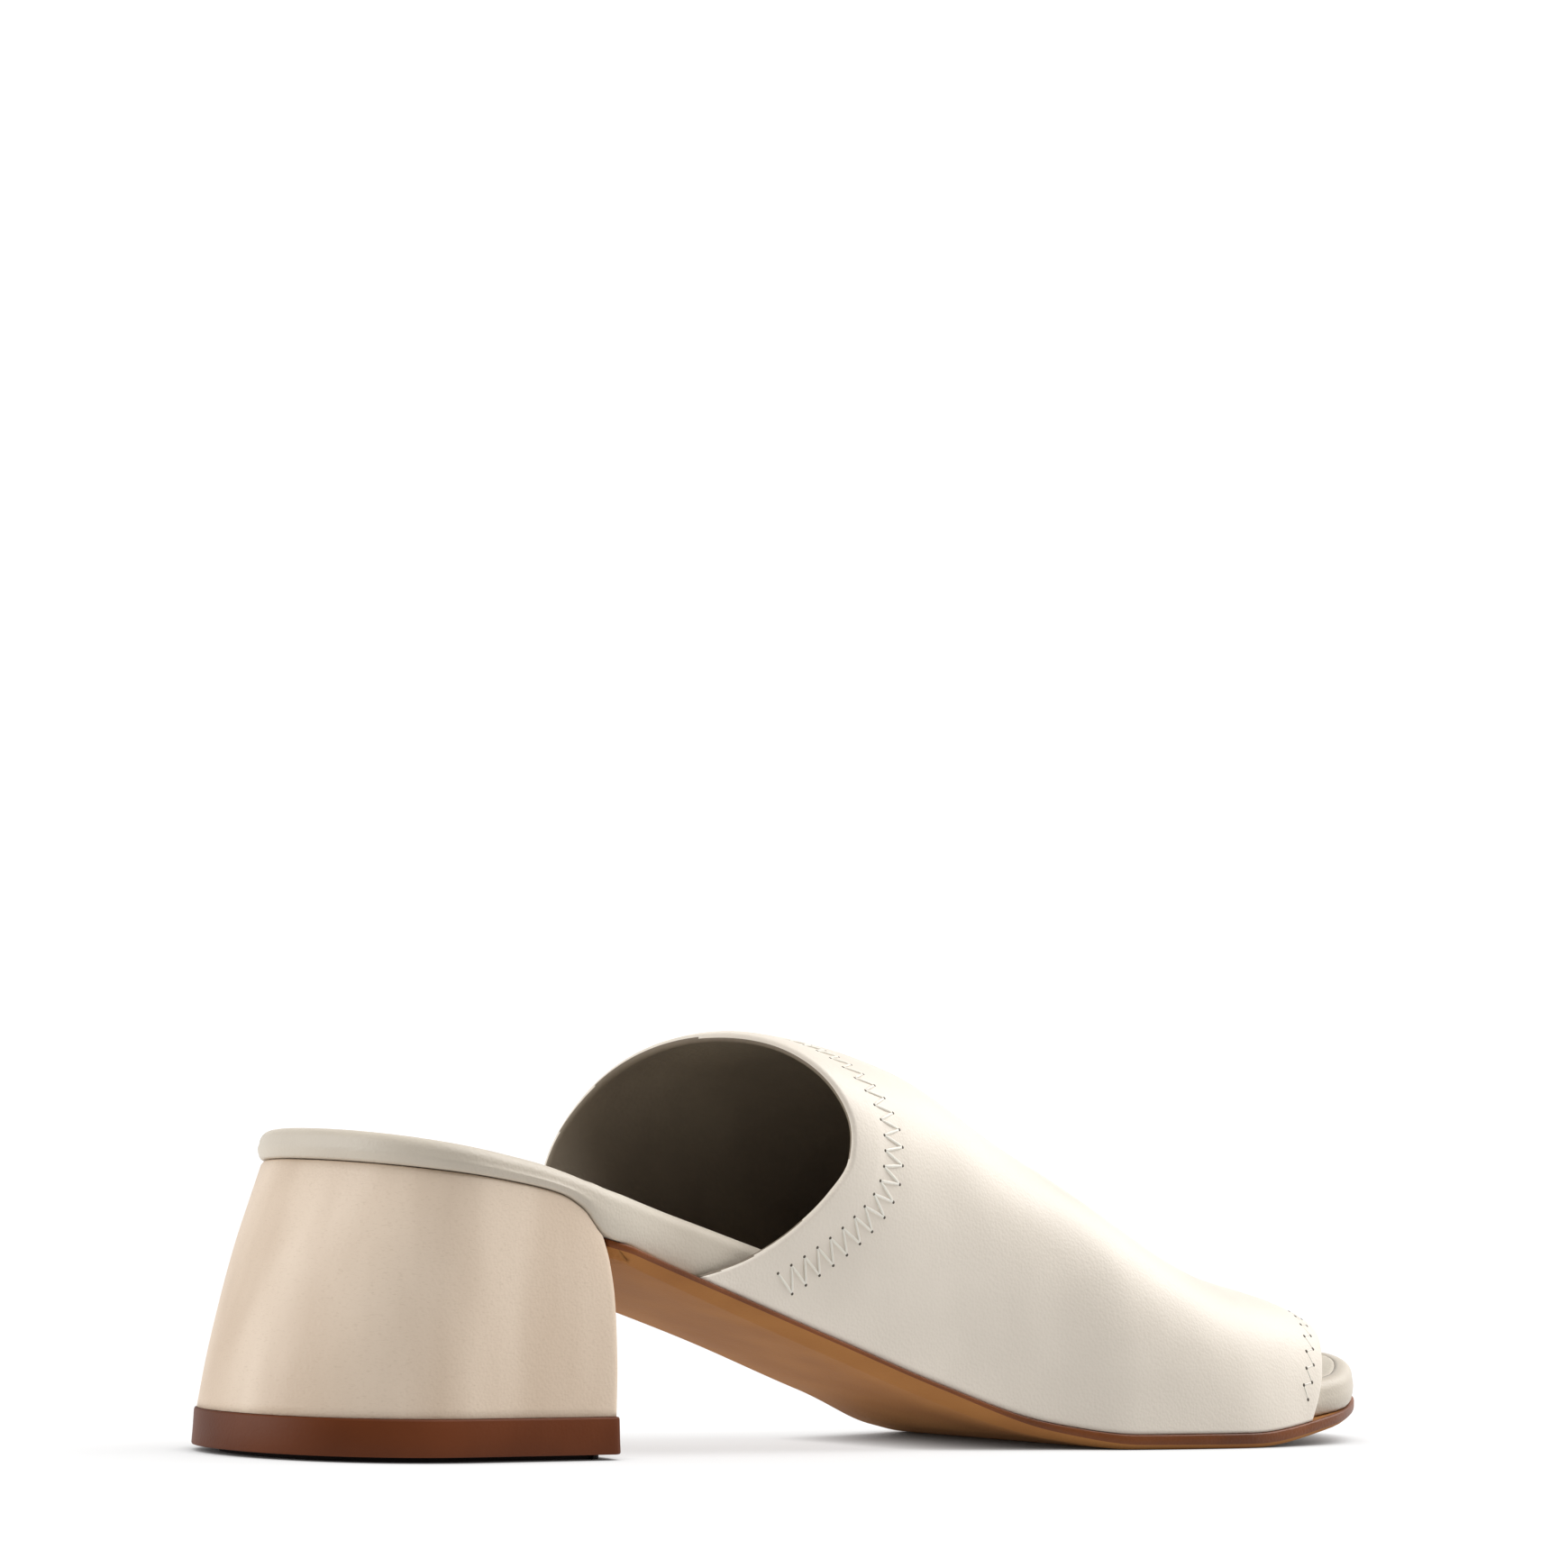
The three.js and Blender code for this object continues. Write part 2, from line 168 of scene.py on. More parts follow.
SOLE = (
    SoleRow(0.0, -0.02, 0.4, 1.0, 0, 0.5, 0.2),
    SoleRow(0.1, 0.0, 0.41, 0.929, 0, 0.385, 0.4),
    SoleRow(0.135, 0.006, 0.402, 0.893, 0, 0.365, 0.5),
    SoleRow(0.155, 0.009, 0.396, 0.843, 0, 0.45, 0.55),
    SoleRow(0.172, 0.012, 0.39, 0.757, 0, 0.715, 0.6),
    SoleRow(0.2, 0.016, 0.38, 0.705, 0, 0.775, 0.7),
    SoleRow(0.3, 0.025, 0.336, 0.537, 0, 0.91, 0.9),
    SoleRow(0.4, 0.033, 0.312, 0.366, 0, 1.0, 1.0),
    SoleRow(0.5, 0.027, 0.32, 0.192, 0, 0.95, 1.0),
    SoleRow(0.6, 0.004, 0.385, 0.042, 0, 0.86, 0.6),
    SoleRow(0.67, -0.008, 0.46, 0, 0, 0.75, 0.3),
    SoleRow(0.78, -0.03, 0.5, 0, 0, 0.62, 0.2),
    SoleRow(0.88, -0.06, 0.467, 0, 0.44, 0.58, 0.2),
    SoleRow(0.96, -0.092, 0.393, 0, 0.84, 0.62, 0.2),
    SoleRow(1.0, -0.11, 0.335, 0, 1.0, 0.66, 0.2),
)

VAMP = (
    VampRow(0.264, 0.61, 0.415, -0.03, 0),
    VampRow(0.387, 0.916, 0.415, -0.045, 0),
    VampRow(0.51, 1.0, 0.33, -0.085, 0),
    VampRow(0.633, 0.863, 0.21, -0.07, 0.08),
    VampRow(0.756, 0.573, 0.125, -0.045, 0.22),
    VampRow(0.879, 0.362, 0.065, -0.05, 0.5),
    VampRow(0.96, 0.17, 0.03, -0.055, 0.6),
)

RIMS = (
    RimRow(0.0, 0.27, 0.851),
    RimRow(0.05, 0.316, 0.861),
    RimRow(0.1, 0.354, 0.869),
    RimRow(0.15, 0.382, 0.875),
    RimRow(0.2, 0.4, 0.881),
    RimRow(0.25, 0.404, 0.888),
    RimRow(0.3, 0.4, 0.895),
    RimRow(0.4, 0.385, 0.912),
    RimRow(0.5, 0.363, 0.919),
    RimRow(0.6, 0.347, 0.922),
    RimRow(0.7, 0.329, 0.92),
    RimRow(0.8, 0.306, 0.916),
    RimRow(0.9, 0.284, 0.91),
    RimRow(1.0, 0.262, 0.902),
)

HEEL = (
    HeelRow(0.0, 0.0, 0.0, 0.0),
    HeelRow(0.15, 0.38, 0.2, 0.46),
    HeelRow(0.35, 0.72, 0.45, 0.78),
    HeelRow(0.6, 0.93, 0.7, 0.94),
    HeelRow(0.8, 1.0, 0.87, 1.0),
    HeelRow(1.0, 1.0, 1.0, 1.0),
)


class Curve:
    """A smooth curve through one column of a table, without overshoot between its rows."""

    def __init__(self, rows: Sequence[object], key: str, name: str) -> None:
        """Reads the column and works out its slopes.

        Args:
            rows: the table.
            key: the column that the curve runs along.
            name: the column that the curve gives.
        """
        self.x = [getattr(row, key) for row in rows]
        self.y = [getattr(row, name) for row in rows]
        pairs = list(zip(self.x, self.y))
        slopes = [(y1 - y0) / (x1 - x0) for (x0, y0), (x1, y1) in zip(pairs, pairs[1:])]
        self.tangent = []
        for i in range(len(pairs)):
            before, after = slopes[max(i - 1, 0)], slopes[min(i, len(slopes) - 1)]
            self.tangent.append(2 * before * after / (before + after) if before * after > 0 else 0.0)

    def __call__(self, value: float) -> float:
        """Gives the column's value at a place along its key.

        Args:
            value: the place, held to the table's ends.

        Returns:
            The smooth value there.
        """
        at = min(max(value, self.x[0]), self.x[-1])
        i = max(0, bisect_left(self.x, at) - 1)
        width = self.x[i + 1] - self.x[i]
        s = (at - self.x[i]) / width
        start = (1 + 2 * s) * (1 - s) ** 2 * self.y[i] + s * (1 - s) ** 2 * width * self.tangent[i]
        end = s * s * (3 - 2 * s) * self.y[i + 1] + s * s * (s - 1) * width * self.tangent[i + 1]
        return start + end


def lerp(start: float, end: float, share: float) -> float:
    """Gives the value a share of the way from start to end."""
    return start + (end - start) * share


def smoothstep(value: float, low: float, high: float) -> float:
    """Gives 0 below low, 1 above high, and an even swing between them."""
    s = min(max((value - low) / (high - low), 0.0), 1.0)
    return s * s * (3 - 2 * s)


@dataclass
class Last:
    """The form that the whole shoe is built on: the sole's line, the footbed's top and the vamp's sections.

    Lengths are in millimetres, and the tables hold shares of them. turn_step is the share of the half
    turn that slopes are measured over, and stride is the length of a step over the vamp's face.
    """

    seat_back: float
    sole_length: float
    ball_width: float = 75.0
    heel_rise: float = 48.4
    toe_spring: float = 6.4
    outsole_thickness: float = 2.8
    platform_thickness: float = 11.4
    seat_round: float = 19.0
    toe_round: float = 36.0
    round_power: float = 2.2
    instep_height: float = 58.5
    reveal: float = 0.5
    flare_onset: float = 1.5
    seam: float = 0.1
    turn_step: float = 0.002
    stride: float = 2.0
    curves: dict[str, Curve] = field(default_factory=dict)
    rim_rates: dict[tuple[float, bool], float] = field(default_factory=dict)

    def __post_init__(self) -> None:
        """Makes a curve of each column of the sole's, the vamp's and the rims' tables."""
        for rows, key in ((SOLE, "at"), (VAMP, "at"), (RIMS, "round")):
            for name in rows[0].__dataclass_fields__:
                if name != key:
                    self.curves[name] = Curve(rows, key, name)

    @classmethod
    def from_frame(cls) -> "Last":
        """Takes the sole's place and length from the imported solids."""
        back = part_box("footbed")[0][1] / MM
        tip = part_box("outsole")[1][1] / MM
        return cls(seat_back=back, sole_length=tip - back)

    def share(self, y: float) -> float:
        """Gives y as a share of the sole's length from the seat."""
        return (y - self.seat_back) / self.sole_length

    def along(self, share: float) -> float:
        """Gives the y of a share of the sole's length."""
        return self.seat_back + share * self.sole_length

    def centre(self, y: float) -> float:
        """Gives the sole's middle line at y."""
        return self.curves["centre"](self.share(y)) * self.ball_width

    def half(self, y: float) -> float:
        """Gives the sole's half width at y, before its ends are rounded."""
        return self.curves["half"](self.share(y)) * self.ball_width

    def feather(self, y: float) -> float:
        """Gives the height of the line where footbed and outsole meet."""
        t = self.share(y)
        rise = self.heel_rise * self.curves["rise"](t)
        return self.outsole_thickness + rise + self.toe_spring * self.curves["spring"](t)

    def footbed_top(self, y: float) -> float:
        """Gives the height of the footbed's top at y."""
        return self.feather(y) + self.platform_thickness * self.curves["band"](self.share(y))

    def toe_narrowing(self, y: float) -> float:
        """Gives the share of the sole's half width that is left in the rounded toe."""
        past = max(0.0, 1 - (self.along(1) - y) / self.toe_round)
        return (1 - min(past, 1.0) ** self.round_power) ** (1 / self.round_power)

    def collar(self, turn: float) -> float:
        """Gives the collar's y at a share of the half turn."""
        return self.along(self.curves["collar"](turn))

    def toe(self, turn: float) -> float:
        """Gives the peep toe's y at a share of the half turn."""
        return self.along(self.curves["toe"](turn))

    def vamp(self, y: float, turn: float) -> Vector:
        """Gives a point of the vamp's outer face.

        Args:
            y: the place along the shoe.
            turn: 0 at the outer side's edge, 0.5 on the ridge, 1 at the inner side's edge.

        Returns:
            The point, in millimetres.
        """
        t = self.share(y)
        angle = math.pi * turn
        high = max(math.sin(angle), 0.0)
        flare = self.curves["flare"](t) * self.ball_width * high**self.flare_onset
        half = self.half(y) * self.toe_narrowing(y) - self.reveal + flare
        across = math.cos(angle)
        side = math.copysign(abs(across) ** (1 - self.curves["full"](t)), across)
        x = self.centre(y) + self.curves["lean"](t) * self.ball_width * high + half * side
        rise = self.curves["height"](t) * self.instep_height * high
        return Vector((x, y, self.feather(y) + self.seam + rise))

    def vamp_frame(self, y: float, turn: float) -> tuple[Vector, Vector, Vector]:
        """Gives the vamp's directions at a point.

        Args:
            y: the place along the shoe.
            turn: the share of the half turn.

        Returns:
            The outward normal, the direction towards the toe, and the direction round the foot,
            the last two for one millimetre of y and for one whole half turn.
        """
        low, high = max(turn - self.turn_step, 0.0), min(turn + self.turn_step, 1.0)
        around = (self.vamp(y, high) - self.vamp(y, low)) / (high - low)
        along = self.vamp(y + 0.5, turn) - self.vamp(y - 0.5, turn)
        return along.cross(around).normalized(), along, around

    def rim_distance(self, y: float, turn: float, at_toe: bool) -> float:
        """Gives how far over the vamp's face a point lies from the collar or from the peep toe.

        Args:
            y: the place along the shoe.
            turn: the share of the half turn.
            at_toe: whether the peep toe's rim is meant.

        Returns:
            The distance straight away from the rim, in millimetres.
        """
        rim = self.toe if at_toe else self.collar
        start = rim(turn)
        if (turn, at_toe) not in self.rim_rates:
            low, high = max(turn - 2 * self.turn_step, 0.0), min(turn + 2 * self.turn_step, 1.0)
            tangent = (self.vamp(rim(high), high) - self.vamp(rim(low), low)).normalized()
            along = self.vamp(start + 1, turn) - self.vamp(start, turn)
            self.rim_rates[turn, at_toe] = along.cross(tangent).length
        return abs(y - start) * self.rim_rates[turn, at_toe]

    def relief(self, y: float, turn: float) -> float:
        """Gives how far the stitching draws the leather in at a point, below zero, or lets it swell."""
        total = 0.0
        for seam in SEAMS:
            away = self.rim_distance(y, turn, seam.at_toe)
            if away > seam.far + seam.still_past:
                continue
            middle, reach = seam.middle(turn), (seam.far - seam.near) / 2 + seam.margin
            drawn = math.exp(-(((away - middle) / reach) ** 4))
            ends = smoothstep(turn, seam.first_turn - seam.fade, seam.first_turn)
            ends *= 1 - smoothstep(turn, seam.last_turn, seam.last_turn + seam.fade)
            total -= seam.draw * drawn * ends
            hem_end = middle - reach + seam.margin
            hem = 1 - smoothstep(away, hem_end - seam.hem_run, hem_end)
            total += seam.hem * hem * smoothstep(away, *seam.rim_run)
        return total

    def skin(self, y: float, turn: float) -> Vector:
        """Gives a point of the finished leather: the vamp's face, drawn in along its seams."""
        return self.vamp(y, turn) + self.vamp_frame(y, turn)[0] * self.relief(y, turn)

    def walk(self, y: float, turn: float, direction: Vector, distance: float) -> tuple[float, float]:
        """Walks over the vamp's outer face in a straight way.

        Args:
            y: where the walk starts.
            turn: the share of the half turn where it starts.
            direction: which way to go, pressed onto the face at each step.
            distance: how far, in millimetres.

        Returns:
            The y and the turn of the walk's end.
        """
        steps = max(1, round(distance / self.stride))
        for _ in range(steps):
            normal, along, around = self.vamp_frame(y, turn)
            step = direction - normal * direction.dot(normal)
            step = step.normalized() * (distance / steps)
            aa, ar, rr = along.dot(along), along.dot(around), around.dot(around)
            da, dr = step.dot(along), step.dot(around)
            span = aa * rr - ar * ar
            y += (da * rr - dr * ar) / span
            turn = min(max(turn + (dr * aa - da * ar) / span, 0.0), 1.0)
        return y, turn


# Meshes


def bent_grid(columns: int, rows: int, place: Place) -> bmesh.types.BMesh:
    """Bends a flat grid into a closed form, and welds the edges that meet.

    Args:
        columns: cells round the form.
        rows: cells from its first end to its last.
        place: gives the millimetre place of each corner from its column and its row.

    Returns:
        The welded mesh, in metres, with smooth faces that point out.
    """
    bm = bmesh.new()
    bmesh.ops.create_grid(bm, x_segments=columns, y_segments=rows, size=0.5)
    row_of = bm.verts.layers.int.new("row")
    for vert in bm.verts:
        column = round((vert.co.x + 0.5) * columns)
        row = round((vert.co.y + 0.5) * rows)
        vert[row_of] = row
        vert.co = place(column % columns, row) * MM
    bmesh.ops.remove_doubles(bm, verts=bm.verts, dist=WELD)
    bmesh.ops.dissolve_degenerate(bm, edges=bm.edges, dist=WELD)
    bmesh.ops.recalc_face_normals(bm, faces=bm.faces)
    for face in bm.faces:
        face.smooth = True
    return bm


def make_piece(name: str, bm: bmesh.types.BMesh, materials: Sequence[bpy.types.Material]) -> bpy.types.Object:
    """Turns a mesh in the making into an object of the scene.

    Args:
        name: the piece's name.
        bm: its mesh, which is freed.
        materials: its materials, in the order of the faces' indices.

    Returns:
        The object, at the origin.
    """
    mesh = bpy.data.meshes.new(name)
    bm.to_mesh(mesh)
    bm.free()
    for material in materials:
        mesh.materials.append(material)
    piece = bpy.data.objects.new(name, mesh)
    bpy.context.scene.collection.objects.link(piece)
    return piece


@dataclass(frozen=True)
class EdgePoint:
    """One point of a plan outline, with the way inwards and the middle line beside it."""

    x: float
    y: float
    inward: Vector
    spine: float

    def inset(self, distance: float, height: Height) -> Vector:
        """Gives the point moved inwards by a distance, at a height that follows its y."""
        x, y = self.x + self.inward.x * distance, self.y + self.inward.y * distance
        return Vector((x, y, height(y)))

    def towards_spine(self, share: float, distance: float, height: Height) -> Vector:
        """Gives the inset point moved a share of the way to the middle line."""
        point = self.inset(distance, height)
        return Vector((lerp(point.x, self.spine, share), point.y, point.z))


@dataclass(frozen=True)
class Outline:
    """A plan outline along the shoe, rounded at both ends like the solids' outlines."""

    start: float
    length: float
    start_round: float
    end_round: float
    power: float
    end_steps: int = 16
    side_steps: int = 130

    def stations(self) -> list[tuple[float, float]]:
        """Gives each station's distance from the start and its share of the full half width."""
        power = 2 / self.power
        turns = [math.pi / 2 * i / self.end_steps for i in range(self.end_steps + 1)]
        shape = [(1 - math.cos(a) ** power if a < math.pi / 2 else 1.0, math.sin(a) ** power) for a in turns]
        first = [(self.start_round * s, wide) for s, wide in shape]
        last = [(self.length - self.end_round * s, wide) for s, wide in reversed(shape)]
        straight = self.length - self.start_round - self.end_round
        middle = [(self.start_round + straight * i / self.side_steps, 1.0) for i in range(1, self.side_steps)]
        return first + middle + last

    def points(self, centre: Height, half: Height) -> list[EdgePoint]:
        """Gives the outline's points, out along the outer side and back along the inner side.

        Args:
            centre: the middle line's x at a y.
            half: the half width at a y.

        Returns:
            The points with their ways inwards.
        """
        places = []
        stations = self.stations()
        for s, wide in stations:
            y = self.start + s
            places.append((centre(y) + half(y) * wide, y))
        for s, wide in reversed(stations[1:-1]):
            y = self.start + s
            places.append((centre(y) - half(y) * wide, y))
        points = []
        for i, (x, y) in enumerate(places):
            x0, y0 = places[i - 1]
            x1, y1 = places[(i + 1) % len(places)]
            along = Vector((x1 - x0, y1 - y0)).normalized()
            points.append(EdgePoint(x, y, Vector((-along.y, along.x)), centre(y)))
        return points


@dataclass(frozen=True)
class Ring:
    """One ring of a slab: how far inside the outline it lies and at what height."""

    inset: Inset
    height: Height
    to_spine: float = 0.0


def slab(points: Sequence[EdgePoint], rings: Sequence[Ring]) -> bmesh.types.BMesh:
    """Makes a closed slab from rings over one outline, the first and last of them on its middle line."""

    def place(column: int, row: int) -> Vector:
        """Gives a corner of the slab."""
        point, ring = points[column], rings[row]
        return point.towards_spine(ring.to_spine, ring.inset(point), ring.height)

    return bent_grid(len(points), len(rings) - 1, place)


def same(value: float) -> Callable[[object], float]:
    """Gives an inset or a height that is the same all round."""
    return lambda place: value


# Materials


def colour(code: str) -> tuple[float, float, float, float]:
    """Turns an sRGB hex code such as D6CDC2 into a linear colour."""
    parts = [int(code[i : i + 2], 16) / 255 for i in (0, 2, 4)]
    linear = [c / 12.92 if c <= 0.04045 else ((c + 0.055) / 1.055) ** 2.4 for c in parts]
    return (*linear, 1.0)


def add_node(tree: Tree, kind: str, settings: dict[str, object], links: dict[str, object]) -> bpy.types.Node:
    """Adds one node to a material.

    Args:
        tree: the material's nodes.
        kind: the node's type.
        settings: attribute names, or input names starting with =, and their values.
        links: input names or numbers, and the output sockets that feed them.

    Returns:
        The node.
    """
    node = tree.nodes.new(kind)
    for name, value in settings.items():
        if name.startswith("="):
            key = name[1:]
            node.inputs[int(key) if key.isdigit() else key].default_value = value
        else:
            setattr(node, name, value)
    for name, socket in links.items():
        tree.links.new(socket, node.inputs[int(name) if name.isdigit() else name])
    return node


def ranged(tree: Tree, value: Socket, start: Span, end: Span, **settings: str) -> Socket:
    """Maps a value from one range onto another, held to its ends."""
    ends = {"=From Min": start[0], "=From Max": start[1], "=To Min": end[0], "=To Max": end[1]}
    return add_node(tree, "ShaderNodeMapRange", ends | settings, {"Value": value}).outputs["Result"]


def noise(tree: Tree, place: Socket, size: float, detail: float) -> Socket:
    """Gives soft noise whose features are about a size in millimetres."""
    settings = {"=Scale": 1 / (size * MM), "=Detail": detail}
    return add_node(tree, "ShaderNodeTexNoise", settings, {"Vector": place}).outputs["Fac"]


@dataclass(frozen=True)
class Finish:
    """A surface: smooth, grained or flecked, with soft changes of tone.

    The patterns' sizes are in millimetres. tone_range and fleck_range are the parts of the noise over
    which the tone changes and a fleck shows, and fleck_flat is how much wider than high a fleck is.
    """

    name: str
    base: str
    shade: str
    roughness: float
    rough_swing: float = 0.05
    tone_size: float = 26.0
    tone_range: Span = (0.32, 0.7)
    grain_size: float = 0.55
    grain_depth: float = 0.05
    ripple_size: float = 9.0
    ripple_depth: float = 0.12
    fleck: str = ""
    fleck_size: float = 0.9
    fleck_amount: float = 0.0
    fleck_range: Span = (0.55, 0.8)
    fleck_flat: float = 3.5
    sheen: float = 0.0
    specular: float = 0.5
    stretch: tuple[float, float, float] = (1.0, 1.0, 1.0)

    def material(self) -> bpy.types.Material:
        """Builds the material from the finish's values."""
        material = bpy.data.materials.new(self.name)
        material.use_nodes = True
        tree = material.node_tree
        tree.nodes.clear()
        place = add_node(tree, "ShaderNodeTexCoord", {}, {}).outputs["Object"]
        stretch = {"=Scale": self.stretch}
        mapped = add_node(tree, "ShaderNodeMapping", stretch, {"Vector": place}).outputs["Vector"]
        tone = noise(tree, mapped, self.tone_size, detail=2.5)
        mix = add_node(
            tree,
            "ShaderNodeMix",
            {"data_type": "RGBA", "=6": colour(self.shade), "=7": colour(self.base)},
            {"0": ranged(tree, tone, self.tone_range, (0.0, 1.0))},
        ).outputs[2]
        if self.fleck:
            mix = self.flecked(tree, place, mix)
        grain = add_node(
            tree,
            "ShaderNodeTexVoronoi",
            {"feature": "SMOOTH_F1", "=Scale": 1 / (self.grain_size * MM), "=Smoothness": 0.6},
            {"Vector": place},
        ).outputs["Distance"]
        ripple = noise(tree, mapped, self.ripple_size, detail=1.5)
        normal: dict[str, Socket] = {}
        for height, depth in ((grain, self.grain_depth), (ripple, self.ripple_depth)):
            settings = {"=Strength": 1.0, "=Distance": depth * MM}
            bump = add_node(tree, "ShaderNodeBump", settings, {"Height": height} | normal)
            normal = {"Normal": bump.outputs["Normal"]}
        drier, shinier = self.roughness + self.rough_swing, self.roughness - self.rough_swing
        rough = ranged(tree, tone, (0.0, 1.0), (shinier, drier))
        shader = add_node(
            tree,
            "ShaderNodeBsdfPrincipled",
            {"=Sheen Weight": self.sheen, "=Specular IOR Level": self.specular},
            {"Base Color": mix, "Roughness": rough} | normal,
        )
        add_node(tree, "ShaderNodeOutputMaterial", {}, {"Surface": shader.outputs["BSDF"]})
        return material

    def flecked(self, tree: Tree, place: Socket, under: Socket) -> Socket:
        """Lays fine short flecks over a colour.

        Args:
            tree: the material's nodes.
            place: the coordinates.
            under: the colour below.

        Returns:
            The flecked colour.
        """
        scale = {"=Scale": (1.0, 1.0, self.fleck_flat)}
        flat = add_node(tree, "ShaderNodeMapping", scale, {"Vector": place}).outputs["Vector"]
        cloud = noise(tree, flat, self.fleck_size, detail=3.0)
        spots = ranged(tree, cloud, self.fleck_range, (0.0, self.fleck_amount))
        return add_node(
            tree, "ShaderNodeMix", {"data_type": "RGBA", "=7": colour(self.fleck)}, {"0": spots, "6": under}
        ).outputs[2]


# Smooth soft nappa over the vamp and round the footbed: an even off-white beige with a low sheen.
NAPPA = Finish("nappa_leather", base="E8DED0", shade="DED4C6", roughness=0.46, sheen=0.05)
# The footbed's wrap is the same hide, set a little greyer as painted shade for the dimmer light on the band.
SHADED_FOOTBED_WRAP = Finish("nappa_wrap", base="CCC2B2", shade="C0B5A5", roughness=0.5, sheen=0.05)
# The vamp's lining: a dark taupe leather, matte.
LINING = Finish(
    "taupe_lining", base="867A69", shade="74685A", roughness=0.8, grain_size=0.9, grain_depth=0.08,
)
# The sock on the footbed: the same beige, drier.
SOCK = Finish("sock_leather", base="D3CABA", shade="C8BEAE", roughness=0.58)
# The heel's cover: a pinker, slightly flecked wrap with soft upright bands.
HEEL_WRAP = Finish(
    "heel_cover", base="E6D3BE", shade="D0BAA3", roughness=0.5, tone_size=17, fleck="BBA287",
    fleck_amount=0.32, stretch=(1.0, 1.0, 0.22), specular=0.35,
)
# The outsole's underside: tan sole leatherboard, sanded smooth.
SOLE_TAN = Finish("sole_board", base="A97542", shade="946236", roughness=0.62, specular=0.08)
# Its edge, dyed and burnished on the wheel.
SOLE_EDGE = Finish("burnished_edge", base="864B23", shade="5E3113", roughness=0.42, specular=0.25)
# The top lift: moulded brown rubber, its edge ground smooth.
LIFT_RUBBER = Finish(
    "lift_rubber", base="6C371A", shade="572A11", roughness=0.5, grain_depth=0.02, specular=0.15,
)
# Its tread: rubber coloured black, partly painted shade for the shadowed gap under the heel's back, which
# shows as a thin dark line over the floor.
SHADED_TREAD_RUBBER = Finish("tread_rubber", base="2B2422", shade="1F1A19", roughness=0.6, specular=0.2)
# The zigzag's thread: waxed polyester, paler than the leather.
THREAD = Finish("waxed_thread", base="F0ECE2", shade="E4DED2", roughness=0.5, ripple_depth=0.0)
# The needle's holes: dark dots of painted shade, for the shadow inside each hole.
HOLE_SHADE = Finish("needle_hole", base="5E564B", shade="4F483E", roughness=0.9, ripple_depth=0.0)


# The shoe


